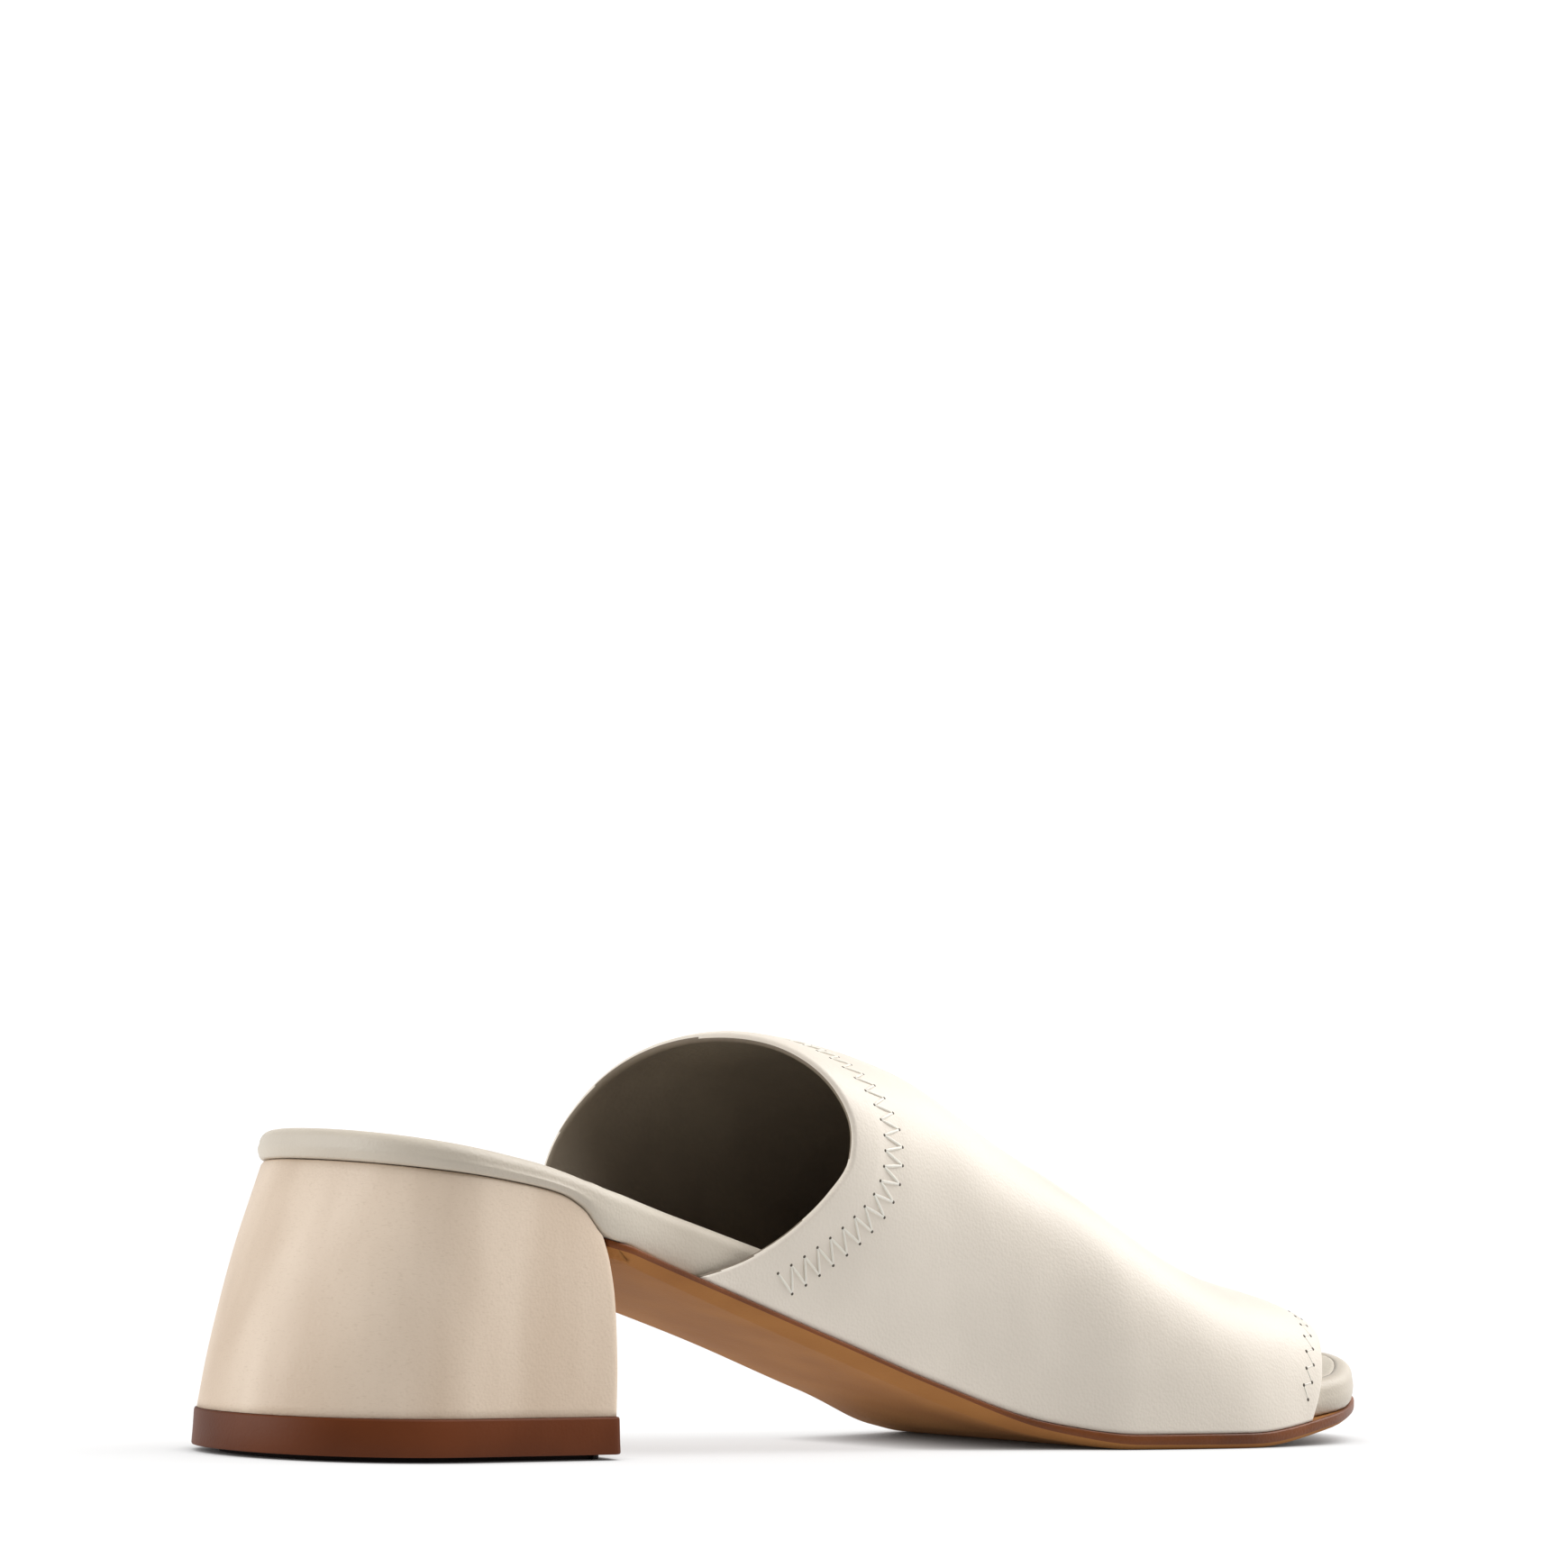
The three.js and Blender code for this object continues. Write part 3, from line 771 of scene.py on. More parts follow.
@dataclass
class Footbed:
    """The wrapped platform and the thin sock on it."""

    last: Last
    edge_round: float = 2.6
    foot_round: float = 0.8
    wall: float = 1.7
    lasting_gap: float = 0.5
    cover_lead: float = 2.0
    cover_ramp: float = 26.0
    sock_inset: float = 3.4
    sock_thickness: float = 0.9
    sock_proud: float = 0.03
    sock_gap: float = 0.05
    sock_bed: float = 0.08
    sock_soft: float = 0.1
    groove: float = 0.03
    belly: float = 0.25
    dish: float = 1.2
    dish_run: float = 26.0
    foot_steps: int = 4
    edge_steps: int = 8

    def cover(self, point: EdgePoint) -> float:
        """Gives how much the upper covers the footbed's edge at a point."""
        turn = 0.0 if point.x > self.last.centre(point.y) else 1.0
        start = self.last.collar(turn) - self.cover_lead
        end = self.last.toe(turn) + self.cover_lead
        rising = smoothstep(point.y, start - self.cover_ramp, start)
        return rising * (1 - smoothstep(point.y, end, end + self.cover_ramp / 2))

    def outline(self) -> list[EdgePoint]:
        """Gives the platform's plan outline."""
        last = self.last
        length = last.sole_length - 2 * last.reveal
        return Outline(last.seat_back, length, last.seat_round, last.toe_round, last.round_power).points(
            last.centre, last.half
        )

    def top(self, y: float) -> float:
        """Gives the height of the platform's rim."""
        return self.last.footbed_top(y)

    def hollow(self, y: float, share: float) -> float:
        """Gives how deep the top is dished a share of the way to the middle line, level towards both ends."""
        back = self.last.seat_back + self.sock_inset
        front = self.last.along(1) - self.sock_inset
        ends = smoothstep(y, back, back + self.dish_run) * (1 - smoothstep(y, front - self.dish_run, front))
        return self.dish * (1 - (1 - share) ** 2) * ends

    def build(self) -> list[bpy.types.Object]:
        """Makes the platform and the sock."""
        last = self.last
        points = self.outline()
        lasting = last.reveal + self.wall + self.lasting_gap

        def inside(extra: float) -> Inset:
            """Gives an inset that adds to the room the upper takes."""
            return lambda point: lasting * self.cover(point) + extra

        def under(y: float) -> float:
            """Gives the height of the platform's underside."""
            return last.feather(y) + last.seam

        def side(share: float) -> Height:
            """Gives a height a share of the way up the band's upright side."""
            return lambda y: lerp(under(y) + self.foot_round, self.top(y) - self.edge_round, share)

        rings = [Ring(inside(self.foot_round), under, 1.0), Ring(inside(self.foot_round), under, 0.5)]
        for i in range(self.foot_steps + 1):
            angle = math.pi / 2 * i / self.foot_steps
            out, up = self.foot_round * (1 - math.sin(angle)), self.foot_round * (1 - math.cos(angle))
            rings.append(Ring(inside(out), lambda y, up=up: under(y) + up))
        for share in (0.25, 0.5, 0.75):
            rings.append(Ring(inside(-self.belly * math.sin(math.pi * share)), side(share)))
        for i in range(self.edge_steps + 1):
            angle = math.pi / 2 * i / self.edge_steps
            inwards, down = self.edge_round * (1 - math.cos(angle)), self.edge_round * (1 - math.sin(angle))
            rings.append(Ring(inside(inwards), lambda y, down=down: self.top(y) - down))
        sunk = self.sock_thickness - self.sock_proud
        rings.append(Ring(inside(self.sock_inset - self.groove), self.top))
        rings.append(Ring(inside(self.sock_inset), lambda y: self.top(y) - sunk))
        for share in (0.2, 0.4, 0.6, 0.8, 1.0):
            rings.append(
                Ring(
                    inside(self.sock_inset),
                    lambda y, share=share: self.top(y) - sunk - self.hollow(y, share),
                    share,
                )
            )
        # The wrap takes the hide's greyer copy, which is painted shade.
        body = make_piece("footbed_wrap", slab(points, rings), [SHADED_FOOTBED_WRAP.material()])
        return [body, self.build_sock(points, inside)]

    def build_sock(self, points: list[EdgePoint], inside: Callable[[float], Inset]) -> bpy.types.Object:
        """Makes the sock: a thin leaf with a soft edge, dished like the footbed.

        Args:
            points: the platform's outline.
            inside: gives an inset from the platform's edge.

        Returns:
            The sock.
        """
        edge = self.sock_inset + self.sock_gap
        proud, thick = self.sock_proud, self.sock_thickness - self.sock_bed

        def surface(share: float, drop: float) -> Height:
            """Gives the dished height a share of the way to the middle line."""
            return lambda y: self.top(y) + proud - drop - self.hollow(y, share)

        rings = [Ring(inside(edge), surface(s, thick), s) for s in (1.0, 0.8, 0.6, 0.4, 0.2, 0.0)]
        rings += [Ring(inside(edge), surface(0, thick / 2)), Ring(inside(edge + 0.02), surface(0, 0.04))]
        over = inside(edge + self.sock_soft)
        rings += [Ring(over, surface(s, 0.0), s) for s in (0.0, 0.05, 0.1, 0.2, 0.3, 0.4, 0.6, 0.8, 1.0)]
        return make_piece("sock", slab(points, rings), [SOCK.material()])


@dataclass
class Outsole:
    """The thin tan sole, with its burnished edge.

    edge_full is the share of the sheet that stands upright at its edge, and edge_pared is how much of
    that the skive takes. tuck is how far the sheet runs on into the heel, set in by tuck_inset there.
    """

    last: Last
    edge_soft: float = 0.5
    edge_full: float = 0.8
    edge_pared: float = 0.48
    end_round: float = 1.5
    skive_width: float = 4.5
    tuck: float = 5.0
    tuck_inset: float = 3.0
    tuck_run: float = 2.0
    edge_rows: tuple[int, int] = (1, 5)
    toe_thinning: float = 0.22

    def thickness(self, y: float) -> float:
        """Gives the sheet's thickness, which falls off towards the toe."""
        share = self.last.share(y)
        return self.last.outsole_thickness * (1 - self.toe_thinning * smoothstep(share, 0.8, 1.0))

    def build(self) -> list[bpy.types.Object]:
        """Makes the sole in one piece, its edge in its own colour."""
        last = self.last
        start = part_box("outsole")[0][1] / MM - self.tuck
        length = last.along(1) - start
        outline = Outline(start, length, self.end_round, last.toe_round, last.round_power)
        points = outline.points(last.centre, last.half)

        def side(extra: float) -> Inset:
            """Gives the edge's inset, more where the sheet's end is tucked into the heel."""
            clear = start + self.tuck + self.tuck_run
            return lambda p: self.tuck_inset * (1 - smoothstep(p.y, start, clear)) + extra

        def pared(extra: float) -> Inset:
            """Gives the underside's inset, more in the waist."""
            return lambda p: side(extra)(p) + self.skive_width * last.curves["skive"](last.share(p.y))

        def edge(share: float) -> Height:
            """Gives a height in the upright part of the edge, which is thinner where the sole is pared."""
            skive = last.curves["skive"]
            return lambda y: under(y, share * (self.edge_full - self.edge_pared * skive(last.share(y))))

        def under(y: float, share: float) -> float:
            """Gives the height a share of the way through the sheet."""
            return last.feather(y) - share * self.thickness(y)

        soft = self.edge_soft
        rings = [
            # The face that the footbed stands on.
            Ring(side(0.8), last.feather, 1.0),
            Ring(side(0.8), last.feather),
            # The edge, softened at its top and upright below.
            Ring(side(soft * 0.3), lambda y: last.feather(y) - soft * 0.15),
            Ring(side(0.0), lambda y: last.feather(y) - soft * 0.6),
            Ring(side(0.0), edge(0.9)),
            Ring(side(0.06), edge(1.0)),
            # The pared slope and the underside.
            Ring(pared(-0.25), lambda y: under(y, 0.9)),
            Ring(pared(0.0), lambda y: under(y, 0.97)),
            *(Ring(pared(soft), lambda y: under(y, 1.0), to_spine) for to_spine in (0.0, 0.5, 1.0)),
        ]
        bm = slab(points, rings)
        row = bm.verts.layers.int["row"]
        upper_row, lower_row = self.edge_rows
        for face in bm.faces:
            rows = [vert[row] for vert in face.verts]
            face.material_index = 1 if min(rows) >= upper_row and max(rows) <= lower_row else 0
        return [make_piece("sole_sheet", bm, [SOLE_TAN.material(), SOLE_EDGE.material()])]


@dataclass
class BlockHeel:
    """The wrapped block heel and its top lift."""

    last: Last
    length: float = 63.2
    width: float = 62.8
    top_length: float = 46.2
    inset: float = 0.5
    foot_round: float = 30.0
    breast_round: float = 5.0
    lift_thickness: float = 7.5
    lift_reveal: float = 0.4
    lift_flare: float = 0.3
    tread_thickness: float = 1.0
    tread_inset: float = 4.0
    wrap_gap: float = 0.05
    top_soft: float = 0.7
    top_drop: float = 0.3
    foot_soft: float = 0.4
    steps: int = 30
    crowding: float = 1.2

    def __post_init__(self) -> None:
        """Makes the curves of the heel's flare."""
        self.spread = Curve(HEEL, "down", "spread")
        self.reach = Curve(HEEL, "down", "reach")
        self.breast = Curve(HEEL, "down", "breast")

    def outline(self, down: float, grow: float) -> list[EdgePoint]:
        """Gives the heel's plan outline.

        Args:
            down: the share of the way from its top to its foot.
            grow: how far it is swollen, in millimetres.

        Returns:
            The outline's points.
        """
        last = self.last
        reach, spread = self.reach(down), self.spread(down)
        top_back, top_breast = last.seat_back + self.inset, last.seat_back + self.top_length
        back = lerp(top_back, -self.length / 2, reach) - grow
        breast = lerp(top_breast, self.length / 2, self.breast(down)) + grow
        rounding = lerp(last.seat_round, self.foot_round, reach)

        def to_top(y: float) -> float:
            """Gives the place on the top outline that a y came from."""
            return top_back + (y - back) / (breast - back) * (top_breast - top_back)

        outline = Outline(back, breast - back, rounding, self.breast_round, last.round_power, side_steps=40)
        return outline.points(
            lambda y: last.centre(to_top(y)) * (1 - spread),
            lambda y: lerp(last.half(to_top(y)) - self.inset, self.width / 2, spread) + grow,
        )

    def build(self) -> list[bpy.types.Object]:
        """Makes the wrapped block, its sections closer together near its top, and the top lift."""
        last = self.last
        downs = [(i / self.steps) ** self.crowding for i in range(self.steps + 1)]
        outlines = [self.outline(down, 0.0) for down in downs]
        foot = self.lift_thickness + self.wrap_gap

        def top(y: float) -> float:
            """Gives the height of the block's top, just under the footbed and the sole."""
            return last.feather(y) - self.wrap_gap

        def place(column: int, row: int) -> Vector:
            """Gives a corner of the block."""
            level = min(max(row - 2, 0), self.steps)
            point = outlines[level][column]
            height = lerp(top(outlines[0][column].y), foot, downs[level])
            if row < 2:
                return point.towards_spine(1.0 - row, self.top_soft, top)
            if row > self.steps + 2:
                return point.towards_spine(row - self.steps - 3, self.foot_soft, lambda y: foot)
            edge = self.top_soft if row == 2 else 0.0
            return point.inset(edge * self.top_drop, lambda y: height - edge * self.top_drop)

        bm = bent_grid(len(outlines[0]), self.steps + 4, place)
        block = make_piece("heel_block", bm, [HEEL_WRAP.material()])
        return [block, self.build_lift()]

    def build_lift(self) -> bpy.types.Object:
        """Makes the top lift: a brown plate on a smaller tread, its black partly painted shade."""
        points = self.outline(1.0, self.lift_reveal)
        flare, sole, tread = -self.lift_flare, self.tread_thickness, self.tread_inset + self.lift_reveal
        top, round_foot = self.lift_thickness, 0.25
        # How far inside the outline, how high, and how far towards the middle line, from the top down.
        sections = (
            (0.5, top, 1.0),
            (0.5, top, 0.0),
            (0.12, top - 0.1, 0.0),
            (0.0, top - 0.4, 0.0),
            (flare / 2, top / 2, 0.0),
            (flare, sole + 0.4, 0.0),
            (flare + 0.1, sole + 0.1, 0.0),
            (flare + 0.4, sole, 0.0),
            (tread, sole, 0.0),
            (tread, round_foot, 0.0),
            (tread + round_foot, 0.0, 0.0),
            (tread + round_foot, 0.0, 1.0),
        )
        bm = slab(points, [Ring(same(inset), same(height), share) for inset, height, share in sections])
        row = bm.verts.layers.int["row"]
        # Faces from this row down take the tread's black, which is partly painted shade.
        first_of_tread = 8
        for face in bm.faces:
            face.material_index = 1 if min(vert[row] for vert in face.verts) >= first_of_tread else 0
        return make_piece("tread_plate", bm, [LIFT_RUBBER.material(), SHADED_TREAD_RUBBER.material()])


@dataclass
class Upper:
    """The hollow vamp: leather outside and over the rims, lining inside."""

    last: Last
    wall: float = 1.7
    around: int = 180
    lengthwise: int = 120
    rim_steps: int = 8
    foot_height: float = 8.0

    def shell_point(self, turn: float, s: float, depth: float) -> Vector:
        """Gives a point in the wall.

        Args:
            turn: the share of the half turn over the foot.
            s: the share of the way from the collar to the peep toe.
            depth: how deep under the outer face, in millimetres.

        Returns:
            The point, level with the edge at the vamp's two lower edges.
        """
        last = self.last
        y = lerp(last.collar(turn), last.toe(turn), s)
        normal, _, _ = last.vamp_frame(y, turn)
        point = last.vamp(y, turn)
        swell = last.relief(y, turn) * (1 - depth / self.wall)
        through = point + normal * (swell - depth)
        if turn <= 0 or turn >= 1:
            through.z = point.z
        return through

    def rim_point(self, turn: float, s: float, angle: float) -> Vector:
        """Gives a point of a rim's round, from the outer face at angle 0 to the inner face at pi."""
        last = self.last
        y = lerp(last.collar(turn), last.toe(turn), s)
        _, along, _ = last.vamp_frame(y, turn)
        out = along.normalized() * (1 if s > 0.5 else -1)
        depth = self.wall / 2 * (1 - math.cos(angle))
        return self.shell_point(turn, s, depth) + out * (self.wall / 2 * math.sin(angle))

    def build(self) -> list[bpy.types.Object]:
        """Makes the wall as one closed piece, leather and lining on its faces."""
        loop = self.loop()
        rows = self.around + 2

        def place(column: int, row: int) -> Vector:
            """Gives a corner of the wall."""
            turn = min(max(row - 1, 0), self.around) / self.around
            s, angle, depth = loop[column]
            if row in (0, rows):
                return self.shell_point(turn, s, self.wall / 2)
            if angle is not None:
                return self.rim_point(turn, s, angle)
            return self.shell_point(turn, s, depth)

        bm = bent_grid(len(loop), rows, place)
        self.paint(bm)
        return [make_piece("vamp", bm, [NAPPA.material(), LINING.material()])]

    def loop(self) -> list[tuple[float, float | None, float]]:
        """Gives the way round one section: outer face, peep toe's rim, inner face, collar's rim."""
        outer = [(j / self.lengthwise, None, 0.0) for j in range(self.lengthwise + 1)]
        inner = [(s, None, self.wall) for s, _, _ in reversed(outer)]
        angles = [math.pi * k / self.rim_steps for k in range(1, self.rim_steps)]
        toe_rim = [(1.0, angle, 0.0) for angle in angles]
        collar_rim = [(0.0, angle, 0.0) for angle in reversed(angles)]
        return outer + toe_rim + inner + collar_rim

    def paint(self, bm: bmesh.types.BMesh) -> None:
        """Gives the lining to the faces that look towards the foot inside, and the leather to the rest."""
        last = self.last
        for face in bm.faces:
            centre = face.calc_center_median() / MM
            spine = Vector((last.centre(centre.y), centre.y, last.footbed_top(centre.y) + self.foot_height))
            facing_in = face.normal.dot(centre - spine) < 0
            face.material_index = 1 if facing_in else 0


@dataclass
class Zigzag:
    """The thread and the needle holes of one seam.

    sunk, bow and flat are shares of the thread's size: how deep its ends lie, how far its middle rises
    over them, and its height. hole_flat is how flat a hole's dot of painted shade is.
    """

    last: Last
    seam: Seam
    samples: int = 120
    rim_step: float = 0.01
    sunk: float = 0.3
    bow: float = 0.42
    flat: float = 0.8
    hole_flat: float = 0.35

    def inwards(self, y: float, turn: float, run: Vector) -> Vector:
        """Gives the way over the face, straight off a line that runs along the rim and away from it."""
        normal, along, _ = self.last.vamp_frame(y, turn)
        way = normal.cross(run)
        return -way if (way.dot(along) < 0) != self.seam.at_toe else way

    def middle_line(self) -> list[tuple[float, float]]:
        """Gives the y and the turn of many points of the seam's middle line."""
        last, seam = self.last, self.seam
        rim = last.toe if seam.at_toe else last.collar
        line = []
        for i in range(self.samples + 1):
            turn = lerp(seam.first_turn, seam.last_turn, i / self.samples)
            low, high = turn - self.rim_step, turn + self.rim_step
            run = last.vamp(rim(high), high) - last.vamp(rim(low), low)
            line.append(last.walk(rim(turn), turn, self.inwards(rim(turn), turn, run), seam.middle(turn)))
        return line

    def holes(self) -> list[tuple[Vector, Vector]]:
        """Gives the holes in the order the thread takes them, each with the face's normal there."""
        last, seam = self.last, self.seam
        line = self.middle_line()
        places = [last.vamp(y, turn) for y, turn in line]
        travelled = [0.0]
        for here, there in zip(places, places[1:]):
            travelled.append(travelled[-1] + (there - here).length)
        count = round(travelled[-1] / (seam.pitch / 2))
        found = []
        for k in range(count + 1):
            i = min(max(bisect_left(travelled, travelled[-1] * k / count) - 1, 0), self.samples - 1)
            share = (travelled[-1] * k / count - travelled[i]) / (travelled[i + 1] - travelled[i])
            y, turn = (lerp(a, b, share) for a, b in zip(line[i], line[i + 1]))
            before, after = places[max(i - 2, 0)], places[min(i + 3, self.samples)]
            inwards = self.inwards(y, turn, after - before)
            y, turn = last.walk(y, turn, inwards * (1 if k % 2 else -1), (seam.far - seam.near) / 2)
            found.append((last.skin(y, turn), last.vamp_frame(y, turn)[0]))
        return found

    def build(self) -> list[bpy.types.Object]:
        """Makes the thread and the holes' dots of painted shade as two joined meshes."""
        holes = self.holes()
        thread = bmesh.new()
        for (start, up0), (end, up1) in zip(holes, holes[1:]):
            self.add_stitch(thread, start, end, (up0 + up1).normalized())
        shade_dots = bmesh.new()
        # Each hole is a dark dot of painted shade.
        for place, up in holes:
            self.add_hole(shade_dots, place, up)
        for face in (*thread.faces, *shade_dots.faces):
            face.smooth = True
        return [
            make_piece(f"{self.seam.name}_thread", thread, [THREAD.material()]),
            make_piece(f"{self.seam.name}_holes", shade_dots, [HOLE_SHADE.material()]),
        ]

    def add_stitch(self, bm: bmesh.types.BMesh, start: Vector, end: Vector, up: Vector) -> None:
        """Adds one length of thread, sunk at its ends and just proud of the leather between them.

        Args:
            bm: the mesh that it joins.
            start: the hole that it leaves.
            end: the hole that it enters.
            up: the face's normal.
        """
        way = end - start
        made = bmesh.ops.create_uvsphere(bm, u_segments=8, v_segments=9, radius=0.5)["verts"]
        side = up.cross(way).normalized()
        size = self.seam.thread
        for vert in made:
            along, across, high = vert.co.z, vert.co.x, vert.co.y
            rise = size * (self.bow * (1 - (2 * along) ** 4) - self.sunk)
            middle = start + way * (along + 0.5) + up * rise
            swell = math.sqrt(max(1 - (2 * along) ** 2, 1e-4))
            width = size * (1 - abs(2 * along) ** 6 * 0.5) / swell if swell > 0.05 else 0.0
            vert.co = (middle + side * (across * width) + up * (high * width * self.flat)) * MM

    def add_hole(self, bm: bmesh.types.BMesh, place: Vector, up: Vector) -> None:
        """Adds one hole's dot of painted shade, nearly level with the leather."""
        turn = up.to_track_quat("Z", "Y").to_matrix().to_4x4()
        radius = self.seam.hole
        size = Matrix.Diagonal((radius, radius, radius * self.hole_flat, 1.0))
        matrix = Matrix.Translation(place) @ turn @ size
        made = bmesh.ops.create_icosphere(bm, subdivisions=2, radius=1.0, matrix=matrix)["verts"]
        for vert in made:
            vert.co *= MM


# The picture


@dataclass(frozen=True)
class Camera:
    """The photograph's view of the shoe, found from the sole's edges, in degrees and millimetres."""

    turn: float = 37.92
    height_angle: float = 1.53
    roll: float = 1.2
    distance: float = 1189.43
    pixels_per_mm: float = 6.04
    picture: float = 1740.0
    sensor: float = 36.0
    aim_pixel: tuple[float, float] = (866.36, 1421.35)
    aim: tuple[float, float, float] = (0.0, 87.26, 30.0)
    clip: Span = (50.0, 20000.0)

    def build(self) -> None:
        """Puts the camera where the photograph was taken from."""
        theta, rise, roll = (math.radians(a) for a in (self.turn, self.height_angle, self.roll))
        level = Vector((-math.cos(theta), math.sin(theta), 0))
        right = Vector((math.sin(theta), math.cos(theta), 0))
        up = Vector((0, 0, 1))
        away = level * math.cos(rise) - up * math.sin(rise)
        upright = level * math.sin(rise) + up * math.cos(rise)
        rolled_right = right * math.cos(roll) + upright * math.sin(roll)
        rolled_up = upright * math.cos(roll) - right * math.sin(roll)
        focal = self.pixels_per_mm * self.distance
        half = self.picture / 2
        aside, below = self.aim_pixel[0] - half, self.aim_pixel[1] - half
        to_aim = Vector((aside / focal, -below / focal, 1)).normalized()
        across = Vector((0, 1, 0)).cross(to_aim).normalized()
        above = to_aim.cross(across)
        axes = [rolled_right * across[i] + rolled_up * above[i] + away * to_aim[i] for i in range(3)]
        place = Vector(self.aim) - away * self.distance
        data = bpy.data.cameras.new("camera")
        data.sensor_width = self.sensor
        data.lens = focal / self.picture * self.sensor
        data.clip_start, data.clip_end = (end * MM for end in self.clip)
        camera = bpy.data.objects.new("camera", data)
        matrix = Matrix((axes[0], axes[1], -axes[2])).transposed().to_4x4()
        matrix.translation = place * MM
        camera.matrix_world = matrix
        bpy.context.scene.collection.objects.link(camera)
        bpy.context.scene.camera = camera


@dataclass(frozen=True)
class Sky:
    """The white studio round the shoe: bright low down, softer overhead and dimmer on the camera's side.

    The strengths are radiances. swing is how far round the light falls off, from facing bright_side
    at 1 to facing away from it at -1.
    """

    low: float = 1.12
    high: float = 0.55
    low_end: float = 0.16
    high_start: float = 0.34
    bright_side: tuple[float, float, float] = (-0.789, 0.615, 0.0)
    dim_share: float = 0.12
    swing: Span = (-0.5, 0.5)

    def build(self) -> None:
        """Makes the world's light, which changes with height and falls off towards the darker side."""
        world = bpy.data.worlds.new("studio")
        world.use_nodes = True
        tree = world.node_tree
        tree.nodes.clear()
        way = add_node(tree, "ShaderNodeTexCoord", {}, {}).outputs["Generated"]
        height = add_node(tree, "ShaderNodeSeparateXYZ", {}, {"Vector": way}).outputs["Z"]
        smooth = {"interpolation_type": "SMOOTHSTEP"}
        strength = ranged(tree, height, (self.low_end, self.high_start), (self.low, self.high), **smooth)
        facing = add_node(
            tree, "ShaderNodeVectorMath", {"operation": "DOT_PRODUCT", "=1": self.bright_side}, {"0": way}
        ).outputs["Value"]
        share = ranged(tree, facing, self.swing, (self.dim_share, 1.0), **smooth)
        strength = add_node(
            tree, "ShaderNodeMath", {"operation": "MULTIPLY"}, {"0": strength, "1": share}
        ).outputs["Value"]
        white = {"=Color": colour("FFFFFF")}
        background = add_node(tree, "ShaderNodeBackground", white, {"Strength": strength})
        add_node(tree, "ShaderNodeOutputWorld", {}, {"Surface": background.outputs["Background"]})
        bpy.context.scene.world = world


@dataclass(frozen=True)
class Softbox:
    """A very large soft light, so far off that it lights the whole floor evenly. spread is in degrees."""

    name: str
    way: tuple[float, float, float]
    spread: float
    strength: float

    def build(self) -> None:
        """Hangs the light, shining along the way from its place to the shoe."""
        data = bpy.data.lights.new(self.name, "SUN")
        data.angle = math.radians(self.spread)
        data.energy = self.strength * math.pi
        lamp = bpy.data.objects.new(self.name, data)
        lamp.rotation_euler = (-Vector(self.way)).to_track_quat("-Z", "Y").to_euler()
        bpy.context.scene.collection.objects.link(lamp)


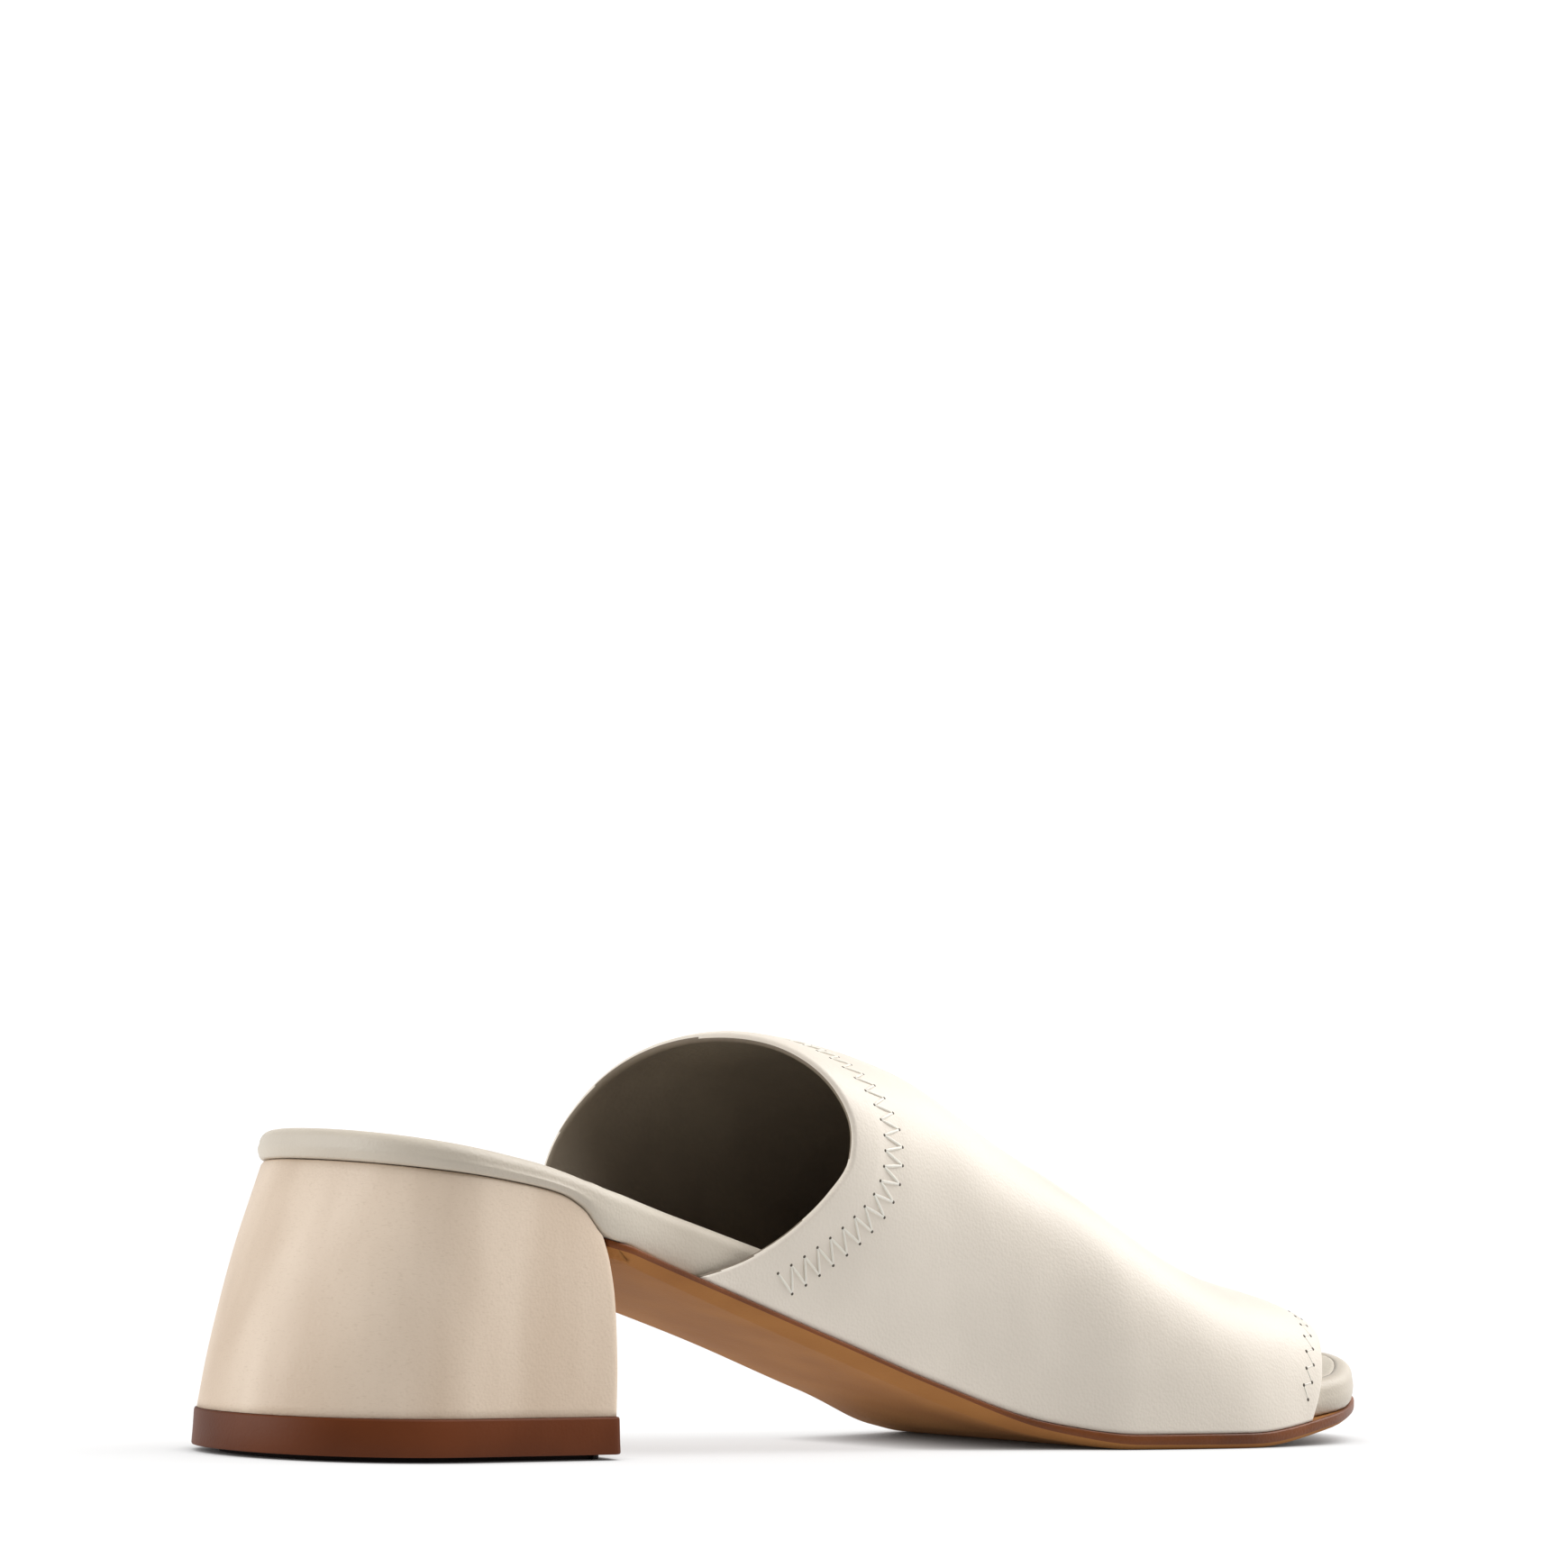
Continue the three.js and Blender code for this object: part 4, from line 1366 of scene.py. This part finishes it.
@dataclass(frozen=True)
class Studio:
    """A pale floor, and soft light from above, from the toe and from behind the heel.

    The floor glows with a painted glow that no lamp gives, and turns to painted contact shadow near what
    stands on it: that reach is in metres, and open_floor is the share of open sky over it from which it glows
    in full.
    """

    floor_half: float = 6.0
    sky: Sky = Sky()
    lights: tuple[Softbox, ...] = (
        Softbox("overhead", way=(0.3, 0.35, 1.0), spread=50.0, strength=0.82),
        Softbox("toe_side", way=(0.0, 0.9, 0.7), spread=35.0, strength=0.36),
        Softbox("heel_side", way=(-0.6, -0.9, 0.4), spread=40.0, strength=0.52),
    )
    floor_grey: str = "828282"
    # The floor's painted glow, which no lamp gives.
    floor_glow: float = 0.7
    floor_roughness: float = 0.9
    floor_specular: float = 0.2
    contact_reach: float = 0.012
    open_floor: float = 0.75

    def build(self) -> None:
        """Makes the floor, the light and the plain colour management."""
        bpy.context.scene.view_settings.view_transform = "Standard"
        bm = bmesh.new()
        bmesh.ops.create_grid(bm, x_segments=1, y_segments=1, size=self.floor_half)
        floor = make_piece("floor", bm, [self.floor_material()])
        self.sky.build()
        for light in self.lights:
            light.build()

    def floor_material(self) -> bpy.types.Material:
        """Gives the floor a matte grey base and a painted glow, which fades to painted contact shadow near
        the shoe.
        """
        material = bpy.data.materials.new("studio_floor")
        material.use_nodes = True
        tree = material.node_tree
        reach = {"=Distance": self.contact_reach, "samples": 8}
        # Ambient occlusion turns the glow off near the shoe, which paints contact shadow on the floor.
        painted_contact_shade = add_node(tree, "ShaderNodeAmbientOcclusion", reach, {})
        glow = ranged(tree, painted_contact_shade.outputs["AO"], (0.0, self.open_floor), (0.0, self.floor_glow))
        inputs = tree.nodes["Principled BSDF"].inputs
        tree.links.new(glow, inputs["Emission Strength"])
        inputs["Base Color"].default_value = colour(self.floor_grey)
        inputs["Emission Color"].default_value = colour("FFFFFF")
        inputs["Roughness"].default_value = self.floor_roughness
        inputs["Specular IOR Level"].default_value = self.floor_specular
        return material


@dataclass(frozen=True)
class Fitting:
    """Which nodes a group of pieces stands for, and the record slot of each piece."""

    pieces: list[bpy.types.Object]
    nodes: tuple[str, ...]
    slots: tuple[Slot, ...]

    def settle(self) -> None:
        """Ties the pieces to the frame."""
        for piece, slot in zip(self.pieces, self.slots):
            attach(piece, "root")
            LOG.info("%s: %d faces", piece.name, len(piece.data.polygons))
        for piece, node in zip(self.pieces, self.nodes):
            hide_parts(node)


def main() -> None:
    """Builds the camera, the light and each part of the shoe, in order."""
    logging.basicConfig(level=logging.INFO, format="%(name)s %(message)s")
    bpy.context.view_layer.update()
    Camera().build()
    Studio().build()
    last = Last.from_frame()
    Fitting(BlockHeel(last).build(), ("heel", "top_lift"), (Slot.HEEL, Slot.TOP_LIFT)).settle()
    Fitting(Outsole(last).build(), ("outsole",), (Slot.OUTSOLE,)).settle()
    Fitting(Footbed(last).build(), ("footbed", "insole"), (Slot.FOOTBED, Slot.INSOLE)).settle()
    Fitting(Upper(last).build(), ("upper",), (Slot.UPPER,)).settle()
    for seam in SEAMS:
        Fitting(Zigzag(last, seam).build(), (), (Slot.UPPER, Slot.UPPER)).settle()


if __name__ == "__main__":
    main()
